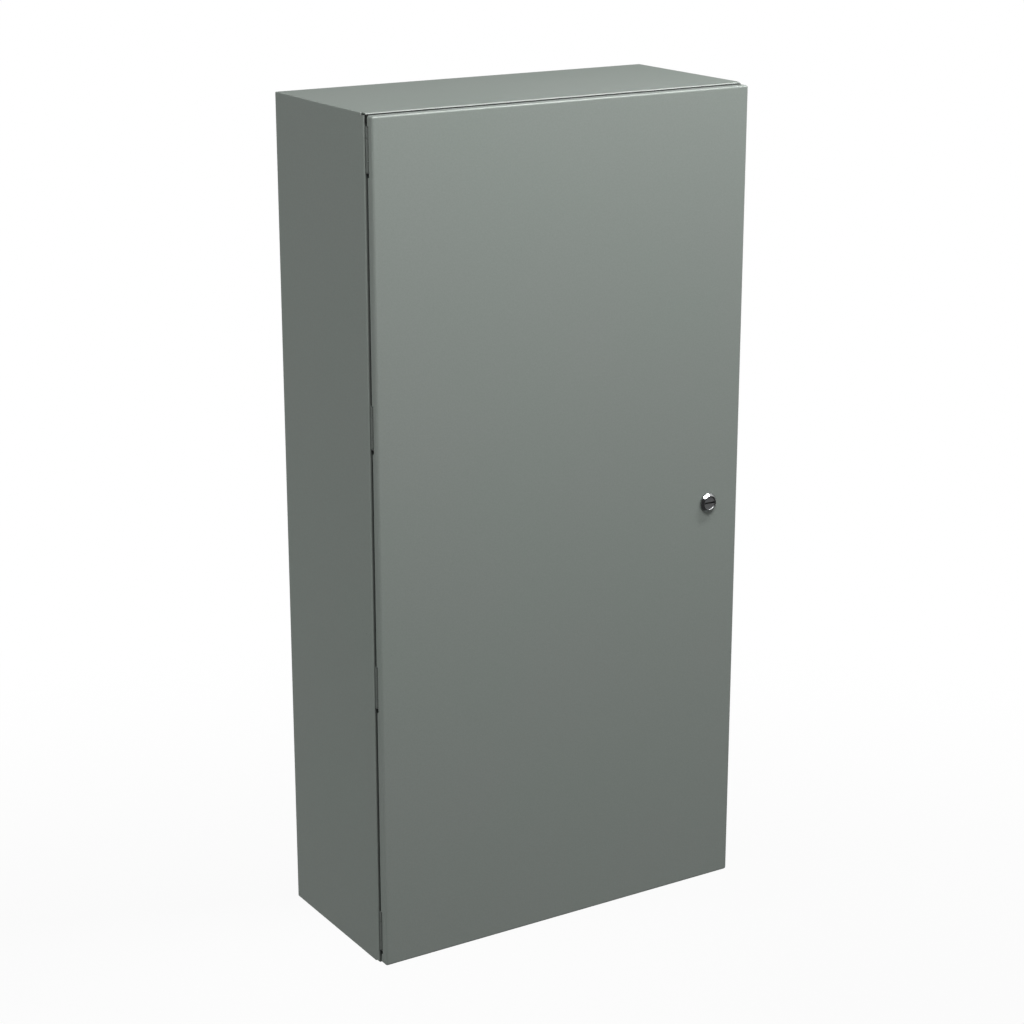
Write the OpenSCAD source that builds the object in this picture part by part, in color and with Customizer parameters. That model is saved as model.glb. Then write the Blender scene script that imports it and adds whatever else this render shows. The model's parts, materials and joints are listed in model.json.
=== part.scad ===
// Wall-mounted sheet-steel electrical enclosure with an overlay door and a three-point quarter-turn latch.
// The origin is the middle of the wall face, the door faces -Y and +Z is up. All sizes are in millimetres.

/* [Enclosure body] */
// Width of the body
body_w = 610; // [450:1:900]
// Height of the body
body_h = 1220; // [900:1:1800]
// Depth from the wall to the front flange
body_d = 257; // [160:1:500]
// Thickness of the body sheet
body_t = 1.9; // [1.2:0.1:2.6]
// Outer radius of the folds of the body
body_fold_r = 3.2; // [2.8:0.1:4]
// Radius of the ground corner seams of the body
body_seam_r = 1.2; // [0.4:0.1:1.8]
// Width of the front flange, from the side to the opening
flange_w = 20; // [18:0.5:26]
// Height of the gasket lip in front of the flange
lip_h = 11; // [8:0.5:13]
// Width of the open relief at each front corner
relief_w = 2.6; // [2.6:0.1:4]
// Length of the open relief at each front corner
relief_l = 10; // [6:0.5:16]

/* [Wall holes] */
// Radius of the wall fixing holes
wall_hole_r = 5.5; // [3:0.1:8]
// Distance of the wall holes from the body's edges
wall_hole_inset = 32; // [26:1:34]

/* [Door] */
// Distance of the door's side edges from the body's sides
door_side_inset = 1.8; // [1:0.1:3]
// Distance of the door's end edges from the body's ends
door_end_inset = 2.4; // [1:0.1:4]
// Seam between the flange and the door's turned edge
door_gap = 5; // [4:0.1:6.2]
// Depth of the door's turned edge
door_d = 13.3; // [12:0.1:18]
// Thickness of the door sheet
door_t = 1.9; // [1.2:0.1:2.4]
// Outer radius of the folds of the door
door_fold_r = 3; // [2.8:0.1:4]
// Radius of the welded door corners
door_corner_r = 3.5; // [2:0.1:4]
// Width of the foam gasket
gasket_w = 12; // [8:0.5:16]
// Distance of the pressed gasket from the lip
gasket_gap = 0.3; // [0.1:0.1:0.8]

/* [Hinges] */
// Number of hinges
hinge_count = 4; // [2:1:5]
// Length of a hinge
hinge_l = 60; // [40:1:90]
// Open pocket in the door edge below a hinge
hinge_pocket = 6.8; // [4:0.1:12]
// Free space in the door edge above a hinge
hinge_top_gap = 0.7; // [0.4:0.1:3]
// Distance of the outer hinge notches from the ends of the body
hinge_margin = 16; // [10:1:60]
// Outer radius of a hinge barrel
barrel_r = 3; // [2.6:0.1:3.4]
// Radius of a hinge pin
hinge_pin_r = 1.6; // [1.2:0.1:2]
// Thickness of a hinge leaf
leaf_t = 1.5; // [1.2:0.1:2]
// Length of the middle barrel
middle_barrel_l = 30; // [16:1:36]
// Distance of a hinge barrel from the flange
barrel_gap = 0.3; // [0.3:0.1:0.6]
// Distance of the door's notched edge from a barrel
notch_gap = 1.7; // [1:0.1:3]

/* [Door stiffeners] */
// Distance of the stiffeners from the sides of the body
stiffener_inset = 165; // [150:1:190]
// Distance of the stiffeners' ends from the ends of the body
stiffener_margin = 70; // [40:1:150]
// Width of the raised middle of a stiffener
hat_w = 24; // [18:1:40]
// Height of a stiffener
hat_h = 18; // [10:1:24]
// Width of the welded edge of a stiffener
hat_edge_w = 12; // [8:1:20]
// Thickness of the stiffener sheet
hat_t = 1.5; // [1:0.1:2]
// Outer fold radius of a stiffener
hat_fold_r = 2.8; // [2.2:0.1:4]
// Radius of the accessory holes in a stiffener
hat_hole_r = 3.3; // [2:0.1:5]
// Spacing of the accessory holes in a stiffener
hat_hole_pitch = 50; // [25:5:100]

/* [Latch] */
// Distance of the latch from the right side of the body
latch_inset = 55.5; // [50:0.5:80]
// Radius of the latch head
head_r = 14; // [12.5:0.1:18]
// Height of the latch head
head_h = 5; // [4:0.1:8]
// Height of the upright rim of the latch head
head_rim_h = 1.6; // [0.6:0.1:2.5]
// Outer radius of the flat ring on the latch head
head_face_r = 11; // [10:0.1:12]
// Radius of the slotted disc
disc_r = 9; // [7.5:0.1:9.6]
// Thickness of the slotted disc
disc_h = 3; // [2.6:0.1:3]
// Depth of the slotted disc below the flat ring
disc_recess = 0.9; // [0.4:0.1:1]
// Width of the screwdriver slot
slot_w = 3; // [1.6:0.1:4]
// Depth of the screwdriver slot
slot_depth = 2; // [1:0.1:2.2]
// Radius of the threaded latch barrel
shank_r = 11; // [9.5:0.1:11.8]
// Width across the two flats that keep the latch barrel from turning in the door
shank_af = 20.1; // [17:0.1:21]
// Thickness of the seal under the latch head
seal_t = 1; // [0.5:0.1:2]
// Width across the flats of the latch nut
latch_nut_af = 27; // [25:0.5:32]
// Thickness of the latch nut
latch_nut_h = 5; // [3:0.1:8]
// Radius of the turning spindle
spindle_r = 6; // [5:0.1:7]
// Side of the square that drives the cam
square_s = 7; // [6:0.1:7.5]
// Thickness of the seal ring on the spindle
oring_t = 1.8; // [1.2:0.1:2.4]

/* [Latch cam and rods] */
// Thickness of the cam
cam_t = 3; // [2:0.1:5]
// Reach of the cam's tongue
tongue_l = 46; // [40:0.5:48]
// Width of the cam's tongue
tongue_w = 16; // [12:0.5:22]
// Radius at which the rods are driven
crank_r = 16; // [15:0.5:18]
// Radius of the pins that drive the rods
crank_pin_r = 3; // [2:0.1:3.4]
// Width of a rod
rod_w = 16; // [15:0.5:17]
// Thickness of a rod
rod_t = 4; // [3:0.1:5]
// Length of the joggled tip of a rod
rod_tip_l = 28; // [22:1:40]
// Length of the joggle of a rod
joggle_l = 8; // [5:0.5:14]
// Distance of a drawn-in rod from the gasket lip
rod_end_gap = 6; // [3:0.5:12]
// Distance of the cam and the rod tips from the back of the flange
catch_gap = 0.5; // [0.3:0.1:1]
// Distance between the cam and the rods
rod_gap = 0.5; // [0.3:0.1:1]
// Free play of a driving pin across its slot
crank_play = 0.7; // [0.6:0.1:1]
// Radius of the cam screw
cam_screw_r = 2.5; // [2:0.1:3]
// Radius of the washer on the cam
cam_washer_r = 5; // [4:0.1:5.2]

/* [Rod guides] */
// Distance of the rod guides from the ends of the body
guide_inset = 85; // [75:1:200]
// Height of the guide's tower along the rod
guide_l = 20; // [10:1:30]
// Wall of a guide round the rod
guide_wall = 3; // [2:0.1:4]
// Thickness of the guide's foot
guide_foot_t = 4; // [3:0.1:6]
// Length of the guide's foot
guide_foot_l = 62; // [54:1:80]
// Free play of a rod in its guide
guide_play = 0.4; // [0.2:0.1:0.8]
// Radius of the studs that hold a guide
guide_stud_r = 2.5; // [2:0.1:3]
// Width across the flats of a guide nut
guide_nut_af = 8; // [7:0.1:10]

/* [Mounting panel] */
// Distance of the panel's sides from the body's sides
panel_margin = 45; // [44:1:80]
// Distance of the panel's ends from the body's ends
panel_end_margin = 45; // [44:1:120]
// Thickness of the panel sheet
panel_t = 2.7; // [2:0.1:4]
// Outer fold radius of the panel
panel_fold_r = 4.5; // [4.2:0.1:8]
// Depth of the panel's turned edges
panel_edge_d = 14; // [10:0.5:16]
// Distance of the panel from the back sheet
panel_standoff = 19; // [18:0.5:40]
// Distance of the studs from the panel's edges
panel_stud_inset = 18; // [16:0.5:40]
// Radius of the panel studs
panel_stud_r = 4; // [3:0.1:5]
// Radius of the collar on a panel stud
collar_r = 7; // [6:0.1:9]
// Width across the flats of a panel nut
panel_nut_af = 13; // [11:0.5:16]
// Thickness of a panel washer
panel_washer_t = 1.6; // [1:0.1:2.5]

/* [Ground studs] */
// Distance of the body's ground stud from the left side
ground_x = 85; // [70:1:200]
// Distance of the body's ground stud from the bottom
ground_z = 22; // [14:1:30]
// Distance of the door's ground stud from the left stiffener
door_ground_gap = 56; // [14:1:70]
// Distance of the door's ground stud from the bottom
door_ground_z = 78; // [60:1:200]
// Radius of the ground studs
ground_stud_r = 3; // [2:0.1:4]
// Length of the ground studs
ground_stud_l = 22; // [18:1:30]
// Width across the flats of a ground nut
ground_nut_af = 10; // [8:0.5:12]
// Thickness of a ground washer
ground_washer_t = 1.2; // [0.8:0.1:2]

/* [Hidden] */
$fn = 64;
// Play between a pin and its hole, a screw and its nut, or a stud and its plate
running_fit = 0.05;
bolt_fit = 0.3;
// Distance kept between parts that pass each other
side_gap = 0.5;
// Overlap of a cutting shape past the face that it cuts
cut = 1;
// Distance of a chamfered hexagon's round end face from its flats
hex_face_inset = 0.4;

// Heights above the wall plane, from the back to the front
flange_back = body_d - body_t;
lip_edge = body_d + lip_h;
door_back = body_d + door_gap;
door_front = door_back + door_d;
door_inner = door_front - door_t;

// Door outline
door_w = body_w - 2 * door_side_inset;
door_h = body_h - 2 * door_end_inset;

// Places of the door stiffeners, and half the width of one
stiffener_x = body_w / 2 - stiffener_inset;
hat_reach = hat_w / 2 + hat_edge_w;
hat_back = door_inner - hat_h;

// Hinge line and notches
hinge_x = -door_w / 2 + door_t + running_fit;
hinge_v = body_d + barrel_gap + barrel_r;
notch_l = hinge_l + hinge_pocket + hinge_top_gap;
hinge_pitch = (body_h - 2 * hinge_margin - notch_l) / (hinge_count - 1);
end_barrel_l = (hinge_l - middle_barrel_l) / 2 - side_gap;

// Latch axis, and the planes of the cam and of the rods
latch_x = body_w / 2 - latch_inset;
head_back = door_front + seal_t;
head_front = head_back + head_h;
disc_front = head_front - disc_recess;
disc_back = disc_front - disc_h;
cam_front = flange_back - catch_gap;
cam_back = cam_front - cam_t;
rod_front = cam_back - rod_gap;
rod_back = rod_front - rod_t;
shank_end = cam_front + side_gap;

// Driving pins stand 45 degrees before and after the cross line of the latch
crank_side = crank_r * cos(45);
rod_offset = (crank_r + crank_side) / 2;
rod_tail_rim = 6;
rod_tail = crank_pin_r + crank_play + rod_tail_rim;
rod_top = body_h / 2 - flange_w - rod_end_gap;
rod_ramp_l = 8;
rod_ramp_h = 2.4;
rod_corner_r = 3;

// Cam: metal round its pins and its square, and the bevel of its tongue
cam_pin_rim = 4;
cam_hub_rim = 5;
cam_corner_r = 4;
cam_ramp_w = 5.4;
cam_ramp_h = 1.2;
cam_screw_head_h = 3.5;
cam_washer_t = 1;
cam_screw_af = 8;
cam_screw_l = 12;

// Rod guides
guide_z = body_h / 2 - guide_inset;
guide_w = rod_w + 2 * guide_play + 2 * guide_wall;
guide_back = rod_back - guide_play - guide_wall;
guide_stud_inset = 9;
guide_stud_tip = 3;
guide_nut_h = 4;
guide_stud_z = guide_foot_l / 2 - guide_stud_inset;
guide_stud_l = guide_foot_t + guide_nut_h + guide_stud_tip;
guide_rib_t = 3;
guide_rib_inset = 8;
guide_rib_rise = 9;
guide_foot_r = 4;
guide_tower_r = 2;

// Mounting panel, its studs and nuts
panel_w = body_w - 2 * panel_margin;
panel_h = body_h - 2 * panel_end_margin;
panel_back = body_t + panel_standoff;
panel_front = panel_back + panel_t;
panel_stud_x = panel_w / 2 - panel_stud_inset;
panel_stud_z = panel_h / 2 - panel_stud_inset;
panel_washer_r = 8;
panel_nut_h = 6.5;
panel_stud_tip = 4;
panel_stud_end = panel_front + panel_washer_t + panel_nut_h + panel_stud_tip;

// Ground studs
ground_washer_r = 6.5;
ground_nut_h = 5;
body_ground = [-body_w / 2 + ground_x, -body_h / 2 + ground_z];
door_ground = [-stiffener_x - hat_reach - door_ground_gap, -body_h / 2 + door_ground_z];

// Colours
paint = [0.47, 0.49, 0.47];
zinc = [0.72, 0.73, 0.74];
chrome = [0.80, 0.81, 0.83];
foam = [0.13, 0.13, 0.13];
nylon = [0.16, 0.16, 0.17];
panel_white = [0.90, 0.90, 0.88];

HINGE_PARTS = ["body_leaf", "door_leaf", "pin"];

// Turns a shape drawn in plan, with its height measured from the wall, into place: plan Y becomes +Z and
// plan Z points to the front.
module from_wall() {
    rotate([90, 0, 0]) children();
}

module rounded_rect(w, h, r) {
    square([w - 2 * r, h], center = true);
    square([w, h - 2 * r], center = true);
    for (x = [-1, 1], y = [-1, 1])
        translate([x * (w / 2 - r), y * (h / 2 - r)]) circle(r);
}

// Round-ended slot along X, from centre to centre
module slot_2d(l, r) {
    square([l, 2 * r], center = true);
    for (x = [-1, 1]) translate([x * l / 2, 0]) circle(r);
}

module ring(outer, inner, h) {
    linear_extrude(h) difference() {
        circle(outer);
        circle(inner);
    }
}

// Hexagonal bar with its corners chamfered at both ends by a 30 degree cone
module hex_bar(af, h) {
    face_r = af / 2 - hex_face_inset;
    cone_r = face_r + h / tan(30);
    intersection() {
        cylinder(r = af / 2 / cos(30), h = h, $fn = 6);
        cylinder(r1 = face_r, r2 = cone_r, h = h);
        cylinder(r1 = cone_r, r2 = face_r, h = h);
    }
}

module hex_nut(af, h, bore) {
    difference() {
        hex_bar(af, h);
        translate([0, 0, -cut]) cylinder(r = bore, h = h + 2 * cut);
    }
}

// Quarter of a bent sheet, in the first quadrant round the bend's centre
module bend(r, t) {
    intersection() {
        difference() {
            circle(r);
            circle(r - t);
        }
        square(r);
    }
}

// Section of a sheet edge: a turned edge from height back, a bend, and the face at height front out to run.
// The first coordinate is the distance from the outer side.
module turned_edge(back, front, r, t, run) {
    translate([0, back]) square([t, front - r - back]);
    translate([r, front - r]) rotate(90) bend(r, t);
    translate([r, front - t]) square([run - r, t]);
}

// Carries a section round a rectangle, with mitred corners
module folded_frame(w, h, run, top) {
    for (side = [0, 1]) mirror([side, 0, 0]) intersection() {
        translate([-w / 2, h / 2, 0]) rotate([90, 0, 0]) linear_extrude(h) children();
        linear_extrude(top) polygon([
            [-w / 2, -h / 2], [-w / 2 + run, -h / 2 + run], [-w / 2 + run, h / 2 - run], [-w / 2, h / 2]
        ]);
    }
    for (end = [0, 1]) mirror([0, end, 0]) intersection() {
        translate([-w / 2, -h / 2, 0]) rotate(a = 120, v = [1, 1, 1]) linear_extrude(w) children();
        linear_extrude(top) polygon([
            [-w / 2, -h / 2], [w / 2, -h / 2], [w / 2 - run, -h / 2 + run], [-w / 2 + run, -h / 2 + run]
        ]);
    }
}

// Section of the body sheet: back, side, front flange, and the lip that stands forward from the flange
module body_section() {
    r = body_fold_r;
    translate([r, 0]) square([flange_w - r, body_t]);
    translate([r, r]) rotate(180) bend(r, body_t);
    translate([0, r]) square([body_t, body_d - 2 * r]);
    translate([r, body_d - r]) rotate(90) bend(r, body_t);
    translate([r, flange_back]) square([flange_w - 2 * r, body_t]);
    translate([flange_w - r, flange_back + r]) rotate(-90) bend(r, body_t);
    translate([flange_w - body_t, flange_back + r]) square([body_t, lip_edge - flange_back - r]);
}

module enclosure_body() {
    color(paint) from_wall() difference() {
        intersection() {
            union() {
                folded_frame(body_w, body_h, flange_w, lip_edge) body_section();
                linear_extrude(body_t) square([body_w - 2 * flange_w, body_h - 2 * flange_w], center = true);
            }
            linear_extrude(lip_edge) rounded_rect(body_w, body_h, body_seam_r);
        }
        for (x = [-1, 1], y = [-1, 1]) {
            translate([x * (body_w / 2 - wall_hole_inset), y * (body_h / 2 - wall_hole_inset), -cut])
                cylinder(r = wall_hole_r, h = body_t + 2 * cut);
            translate([x * body_w / 2 - relief_w, y * body_h / 2 - relief_w, body_d - relief_l])
                cube([2 * relief_w, 2 * relief_w, relief_l + cut]);
        }
    }
}

// Lower end of a hinge notch in the door's edge
function notch_z(i) = -body_h / 2 + hinge_margin + (i - 1) * hinge_pitch;
function hinge_z(i) = notch_z(i) + hinge_pocket;

module door_panel() {
    run = flange_w;
    color(paint) from_wall() difference() {
        intersection() {
            union() {
                folded_frame(door_w, door_h, run, door_front)
                    turned_edge(door_back, door_front, door_fold_r, door_t, run);
                translate([0, 0, door_inner])
                    linear_extrude(door_t) square([door_w - 2 * run, door_h - 2 * run], center = true);
            }
            linear_extrude(door_front) rounded_rect(door_w, door_h, door_corner_r);
        }
        for (i = [1 : hinge_count])
            translate([-door_w / 2 - cut, notch_z(i), door_back - cut])
                cube([door_t + 2 * cut, notch_l, hinge_v + barrel_r + notch_gap - door_back + cut]);
        translate([latch_x, 0, door_inner - cut]) linear_extrude(door_t + 2 * cut) barrel_outline(bolt_fit);
    }
}

module door_gasket() {
    middle = flange_w - body_t / 2;
    outer = 2 * middle - gasket_w;
    inner = 2 * middle + gasket_w;
    color(foam) from_wall() translate([0, 0, lip_edge + gasket_gap])
        linear_extrude(door_inner - lip_edge - gasket_gap) difference() {
            rounded_rect(body_w - outer, body_h - outer, gasket_w);
            rounded_rect(body_w - inner, body_h - inner, gasket_w / 2);
        }
}

// Hat-shaped section of a stiffener, standing back from the door
module hat_section() {
    fold_v = hat_back + hat_fold_r;
    for (side = [0, 1]) mirror([side, 0]) {
        translate([hat_w / 2 - hat_t, door_inner - hat_t]) square([hat_edge_w + hat_t, hat_t]);
        translate([hat_w / 2 - hat_t, fold_v]) square([hat_t, hat_h - hat_fold_r]);
        translate([hat_w / 2 - hat_fold_r, fold_v]) rotate(-90) bend(hat_fold_r, hat_t);
        translate([-cut, hat_back]) square([hat_w / 2 - hat_fold_r + cut, hat_t]);
    }
}

module stiffener(x) {
    l = body_h - 2 * stiffener_margin;
    holes = floor((l / 2 - hat_hole_pitch / 2) / hat_hole_pitch);
    color(paint) from_wall() translate([x, 0, 0]) difference() {
        translate([0, l / 2, 0]) rotate([90, 0, 0]) linear_extrude(l) hat_section();
        for (k = [-holes : holes])
            translate([0, k * hat_hole_pitch, hat_back - cut])
                cylinder(r = hat_hole_r, h = hat_t + 2 * cut);
    }
}

// One of the stretches of a hinge barrel
module barrel(from, l, r) {
    translate([hinge_x, from, hinge_v]) rotate([-90, 0, 0]) cylinder(r = r, h = l);
}

module hinge_body_leaf(i) {
    z = hinge_z(i);
    middle = z + (hinge_l - middle_barrel_l) / 2;
    leaf_end = -body_w / 2 + flange_w - body_fold_r - side_gap;
    leaf_start = hinge_x + barrel_r + side_gap;
    color(zinc) from_wall() difference() {
        union() {
            barrel(middle, middle_barrel_l, barrel_r);
            translate([hinge_x, middle, body_d]) cube([leaf_end - hinge_x, middle_barrel_l, leaf_t]);
            translate([leaf_start, z, body_d]) cube([leaf_end - leaf_start, hinge_l, leaf_t]);
        }
        barrel(middle - cut, middle_barrel_l + 2 * cut, hinge_pin_r + running_fit);
    }
}

module hinge_door_leaf(i) {
    z = hinge_z(i);
    leaf_x = -door_w / 2 + door_t;
    leaf_end = door_front - door_fold_r - side_gap;
    leaf_start = hinge_v + barrel_r + side_gap;
    color(zinc) from_wall() difference() {
        union() {
            translate([leaf_x, z, leaf_start]) cube([leaf_t, hinge_l, leaf_end - leaf_start]);
            for (from = [z, z + hinge_l - end_barrel_l]) {
                barrel(from, end_barrel_l, barrel_r);
                translate([leaf_x, from, hinge_v]) cube([leaf_t, end_barrel_l, leaf_end - hinge_v]);
            }
        }
        barrel(z - cut, hinge_l + 2 * cut, hinge_pin_r + running_fit);
    }
}

module hinge_pin(i) {
    head_r = barrel_r - side_gap;
    head_h = 1.4;
    color(zinc) from_wall() {
        barrel(hinge_z(i) - head_h, hinge_l + head_h, hinge_pin_r);
        barrel(hinge_z(i) - head_h, head_h, head_r);
    }
}

// Places a shape on the latch axis
module on_latch(height) {
    from_wall() translate([latch_x, 0, height]) children();
}

// Round barrel of the latch with its two flats, grown by a gap for the hole in the door
module barrel_outline(gap) {
    intersection() {
        circle(shank_r + gap);
        square([shank_af + 2 * gap, 2 * shank_r + 2 * gap + cut], center = true);
    }
}

module latch_housing() {
    bore = spindle_r + running_fit;
    seat = disc_r + running_fit;
    color(chrome) {
        on_latch(0) rotate_extrude() polygon([
            [bore, head_back], [head_r, head_back], [head_r, head_back + head_rim_h],
            [head_face_r, head_front], [seat + disc_recess, head_front], [seat, disc_front],
            [seat, disc_back], [bore, disc_back]
        ]);
        on_latch(shank_end) linear_extrude(disc_back - shank_end) difference() {
            barrel_outline(0);
            circle(bore);
        }
    }
}

module latch_seal() {
    color(foam) on_latch(door_front) ring(head_r - side_gap, shank_r + running_fit, seal_t);
}

module latch_nut() {
    color(zinc) on_latch(door_inner - latch_nut_h) hex_nut(latch_nut_af, latch_nut_h, shank_r + running_fit);
}

// Middle of the seal ring's groove on the spindle
function groove_v() = (shank_end + disc_back) / 2;

module latch_spindle() {
    groove_r = spindle_r - oring_t + running_fit;
    color(chrome) difference() {
        union() {
            on_latch(disc_back + running_fit) cylinder(r = disc_r, h = disc_h - running_fit);
            on_latch(cam_front) cylinder(r = spindle_r, h = disc_back + disc_h / 2 - cam_front);
            on_latch(cam_back + running_fit) linear_extrude(cam_t) square(square_s, center = true);
        }
        on_latch(disc_front) cube([2 * disc_r + cut, slot_w, 2 * slot_depth], center = true);
        on_latch(groove_v() - oring_t / 2 - running_fit)
            ring(spindle_r + cut, groove_r - running_fit, oring_t + 2 * running_fit);
        on_latch(cam_back - cut) cylinder(r = cam_screw_r + running_fit, h = cam_screw_l + cut);
    }
}

module spindle_oring() {
    r = oring_t / 2;
    color(foam) on_latch(groove_v()) rotate_extrude() translate([spindle_r - r, 0]) circle(r);
}

// Places a shape on each driving pin: the upper rod's at the lower left, the lower rod's at the upper right
module on_cranks() {
    for (side = [-1, 1]) translate([side * crank_side, side * crank_side]) children();
}

module cam_outline() {
    circle(spindle_r + cam_hub_rim);
    rotate(45) slot_2d(2 * crank_r, crank_pin_r + cam_pin_rim);
    translate([0, tongue_l / 2]) rounded_rect(tongue_w, tongue_l, cam_corner_r);
}

// The tongue's leading side is bevelled, so that it slides in behind the flange
module latch_cam() {
    edge = tongue_w / 2;
    color(zinc) on_latch(cam_back) difference() {
        linear_extrude(cam_t) difference() {
            cam_outline();
            square(square_s + 2 * running_fit, center = true);
            on_cranks() circle(crank_pin_r + running_fit);
        }
        translate([0, tongue_l + cut, 0]) rotate([90, 0, 0]) linear_extrude(tongue_l / 2) polygon([
            [edge - cam_ramp_w, cam_t], [edge + cam_ramp_w, cam_t - 2 * cam_ramp_h],
            [edge + cam_ramp_w, cam_t + cut], [edge - cam_ramp_w, cam_t + cut]
        ]);
    }
}

module cam_rivets() {
    head_r = crank_pin_r + crank_play + 1;
    head_h = 1.5;
    head_front = rod_back - rod_gap;
    color(zinc) {
        on_latch(head_front) on_cranks() cylinder(r = crank_pin_r, h = cam_front - head_front);
        on_latch(head_front - head_h) on_cranks() cylinder(r = head_r, h = head_h);
    }
}

module cam_washer() {
    color(zinc) on_latch(cam_back - cam_washer_t) ring(cam_washer_r, cam_screw_r + running_fit, cam_washer_t);
}

module cam_screw() {
    under_head = cam_back - cam_washer_t;
    color(zinc) {
        on_latch(under_head - cam_screw_head_h) hex_bar(cam_screw_af, cam_screw_head_h);
        on_latch(under_head - cut) cylinder(r = cam_screw_r, h = cam_screw_l - cut);
    }
}

// Rod above the latch: its cross slot lies side by side with the other rod's, and its tip is set forward to
// pass close behind the flange
module latch_rod() {
    tail = -crank_side - rod_tail;
    l = rod_top - tail;
    tip_front = flange_back - catch_gap;
    joggle_from = rod_top - rod_tip_l - joggle_l;
    joggle_to = rod_top - rod_tip_l;
    from_wall() translate([latch_x - rod_offset, 0, 0]) difference() {
        intersection() {
            translate([-rod_w / 2, 0, 0]) rotate([0, 90, 0]) linear_extrude(rod_w) polygon([
                [-rod_back, tail], [-rod_front, tail], [-rod_front, joggle_from], [-tip_front, joggle_to],
                [-tip_front, rod_top - rod_ramp_l], [-tip_front + rod_ramp_h, rod_top],
                [-tip_front + rod_t, rod_top], [-tip_front + rod_t, joggle_to], [-rod_back, joggle_from]
            ]);
            translate([0, tail + l / 2, rod_back - cut]) linear_extrude(tip_front - rod_back + 2 * cut)
                rounded_rect(rod_w, l, rod_corner_r);
        }
        translate([0, -crank_side, rod_back - cut]) linear_extrude(rod_t + 2 * cut)
            slot_2d(crank_r - crank_side + 2 * crank_play, crank_pin_r + crank_play);
    }
}

// Turns a shape above the latch half round the latch axis, to the place below it
module below_latch() {
    translate([latch_x, 0, 0]) rotate([0, 180, 0]) translate([-latch_x, 0, 0]) children();
}

module upper_latch_rod() {
    color(zinc) latch_rod();
}

module lower_latch_rod() {
    color(zinc) below_latch() latch_rod();
}

// Moulded guide: a foot on two studs, a tower with the rod's window, and two ribs
module rod_guide() {
    rib_h = guide_foot_t + guide_rib_rise;
    rib_l = guide_foot_l - 2 * guide_rib_inset;
    window_h = rod_t + 2 * guide_play;
    tower_h = door_inner - guide_back;
    from_wall() translate([latch_x - rod_offset, guide_z, 0]) difference() {
        union() {
            translate([0, 0, door_inner - guide_foot_t]) linear_extrude(guide_foot_t)
                rounded_rect(guide_w, guide_foot_l, guide_foot_r);
            translate([0, 0, guide_back]) linear_extrude(tower_h)
                rounded_rect(guide_w, guide_l, guide_tower_r);
            for (x = [-1, 1]) translate([x * (guide_w - guide_rib_t) / 2, 0, door_inner - rib_h / 2])
                cube([guide_rib_t, rib_l, rib_h], center = true);
        }
        translate([0, 0, rod_back - guide_play + window_h / 2])
            cube([rod_w + 2 * guide_play, guide_l + cut, window_h], center = true);
        for (y = [-1, 1]) translate([0, y * guide_stud_z, door_inner - guide_foot_t - cut])
            cylinder(r = guide_stud_r + bolt_fit, h = guide_foot_t + 2 * cut);
    }
}

module upper_rod_guide() {
    color(nylon) rod_guide();
}

module lower_rod_guide() {
    color(nylon) below_latch() rod_guide();
}

// Places a shape on each stud of both guides
module on_guide_studs(height) {
    for (side = [-1, 1], y = [-1, 1])
        from_wall() translate([latch_x + side * rod_offset, -side * guide_z + y * guide_stud_z, height])
            children();
}

module guide_studs() {
    color(zinc) on_guide_studs(door_inner - guide_stud_l) cylinder(r = guide_stud_r, h = guide_stud_l);
}

module guide_nuts() {
    color(zinc) on_guide_studs(door_inner - guide_foot_t - guide_nut_h)
        hex_nut(guide_nut_af, guide_nut_h, guide_stud_r + running_fit);
}

// Places a shape on each panel stud
module on_panel_studs(height) {
    for (x = [-1, 1], y = [-1, 1])
        from_wall() translate([x * panel_stud_x, y * panel_stud_z, height]) children();
}

module panel_studs() {
    color(zinc) {
        on_panel_studs(body_t) cylinder(r = collar_r, h = panel_standoff);
        on_panel_studs(body_t) cylinder(r = panel_stud_r, h = panel_stud_end - body_t);
    }
}

module mounting_panel() {
    edge_back = panel_front - panel_edge_d;
    color(panel_white) difference() {
        from_wall() translate([0, panel_h / 2, 0]) rotate([90, 0, 0]) linear_extrude(panel_h)
            for (side = [0, 1]) mirror([side, 0]) translate([-panel_w / 2, 0])
                turned_edge(edge_back, panel_front, panel_fold_r, panel_t, panel_w / 2 + cut);
        on_panel_studs(panel_back - cut) cylinder(r = panel_stud_r + bolt_fit, h = panel_t + 2 * cut);
    }
}

module panel_washers() {
    color(zinc) on_panel_studs(panel_front) ring(panel_washer_r, panel_stud_r + bolt_fit, panel_washer_t);
}

module panel_nuts() {
    color(zinc) on_panel_studs(panel_front + panel_washer_t)
        hex_nut(panel_nut_af, panel_nut_h, panel_stud_r + running_fit);
}

// Places a shape on a ground stud: the body's points forward, the door's points back
module on_body_ground() {
    from_wall() translate([body_ground.x, body_ground.y, body_t]) children();
}

module on_door_ground() {
    from_wall() translate([door_ground.x, door_ground.y, door_inner]) rotate([180, 0, 0]) children();
}

module ground_stud() {
    color(zinc) cylinder(r = ground_stud_r, h = ground_stud_l);
}

module ground_washer() {
    color(zinc) ring(ground_washer_r, ground_stud_r + bolt_fit, ground_washer_t);
}

module ground_nut() {
    color(zinc) translate([0, 0, ground_washer_t])
        hex_nut(ground_nut_af, ground_nut_h, ground_stud_r + running_fit);
}

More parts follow.
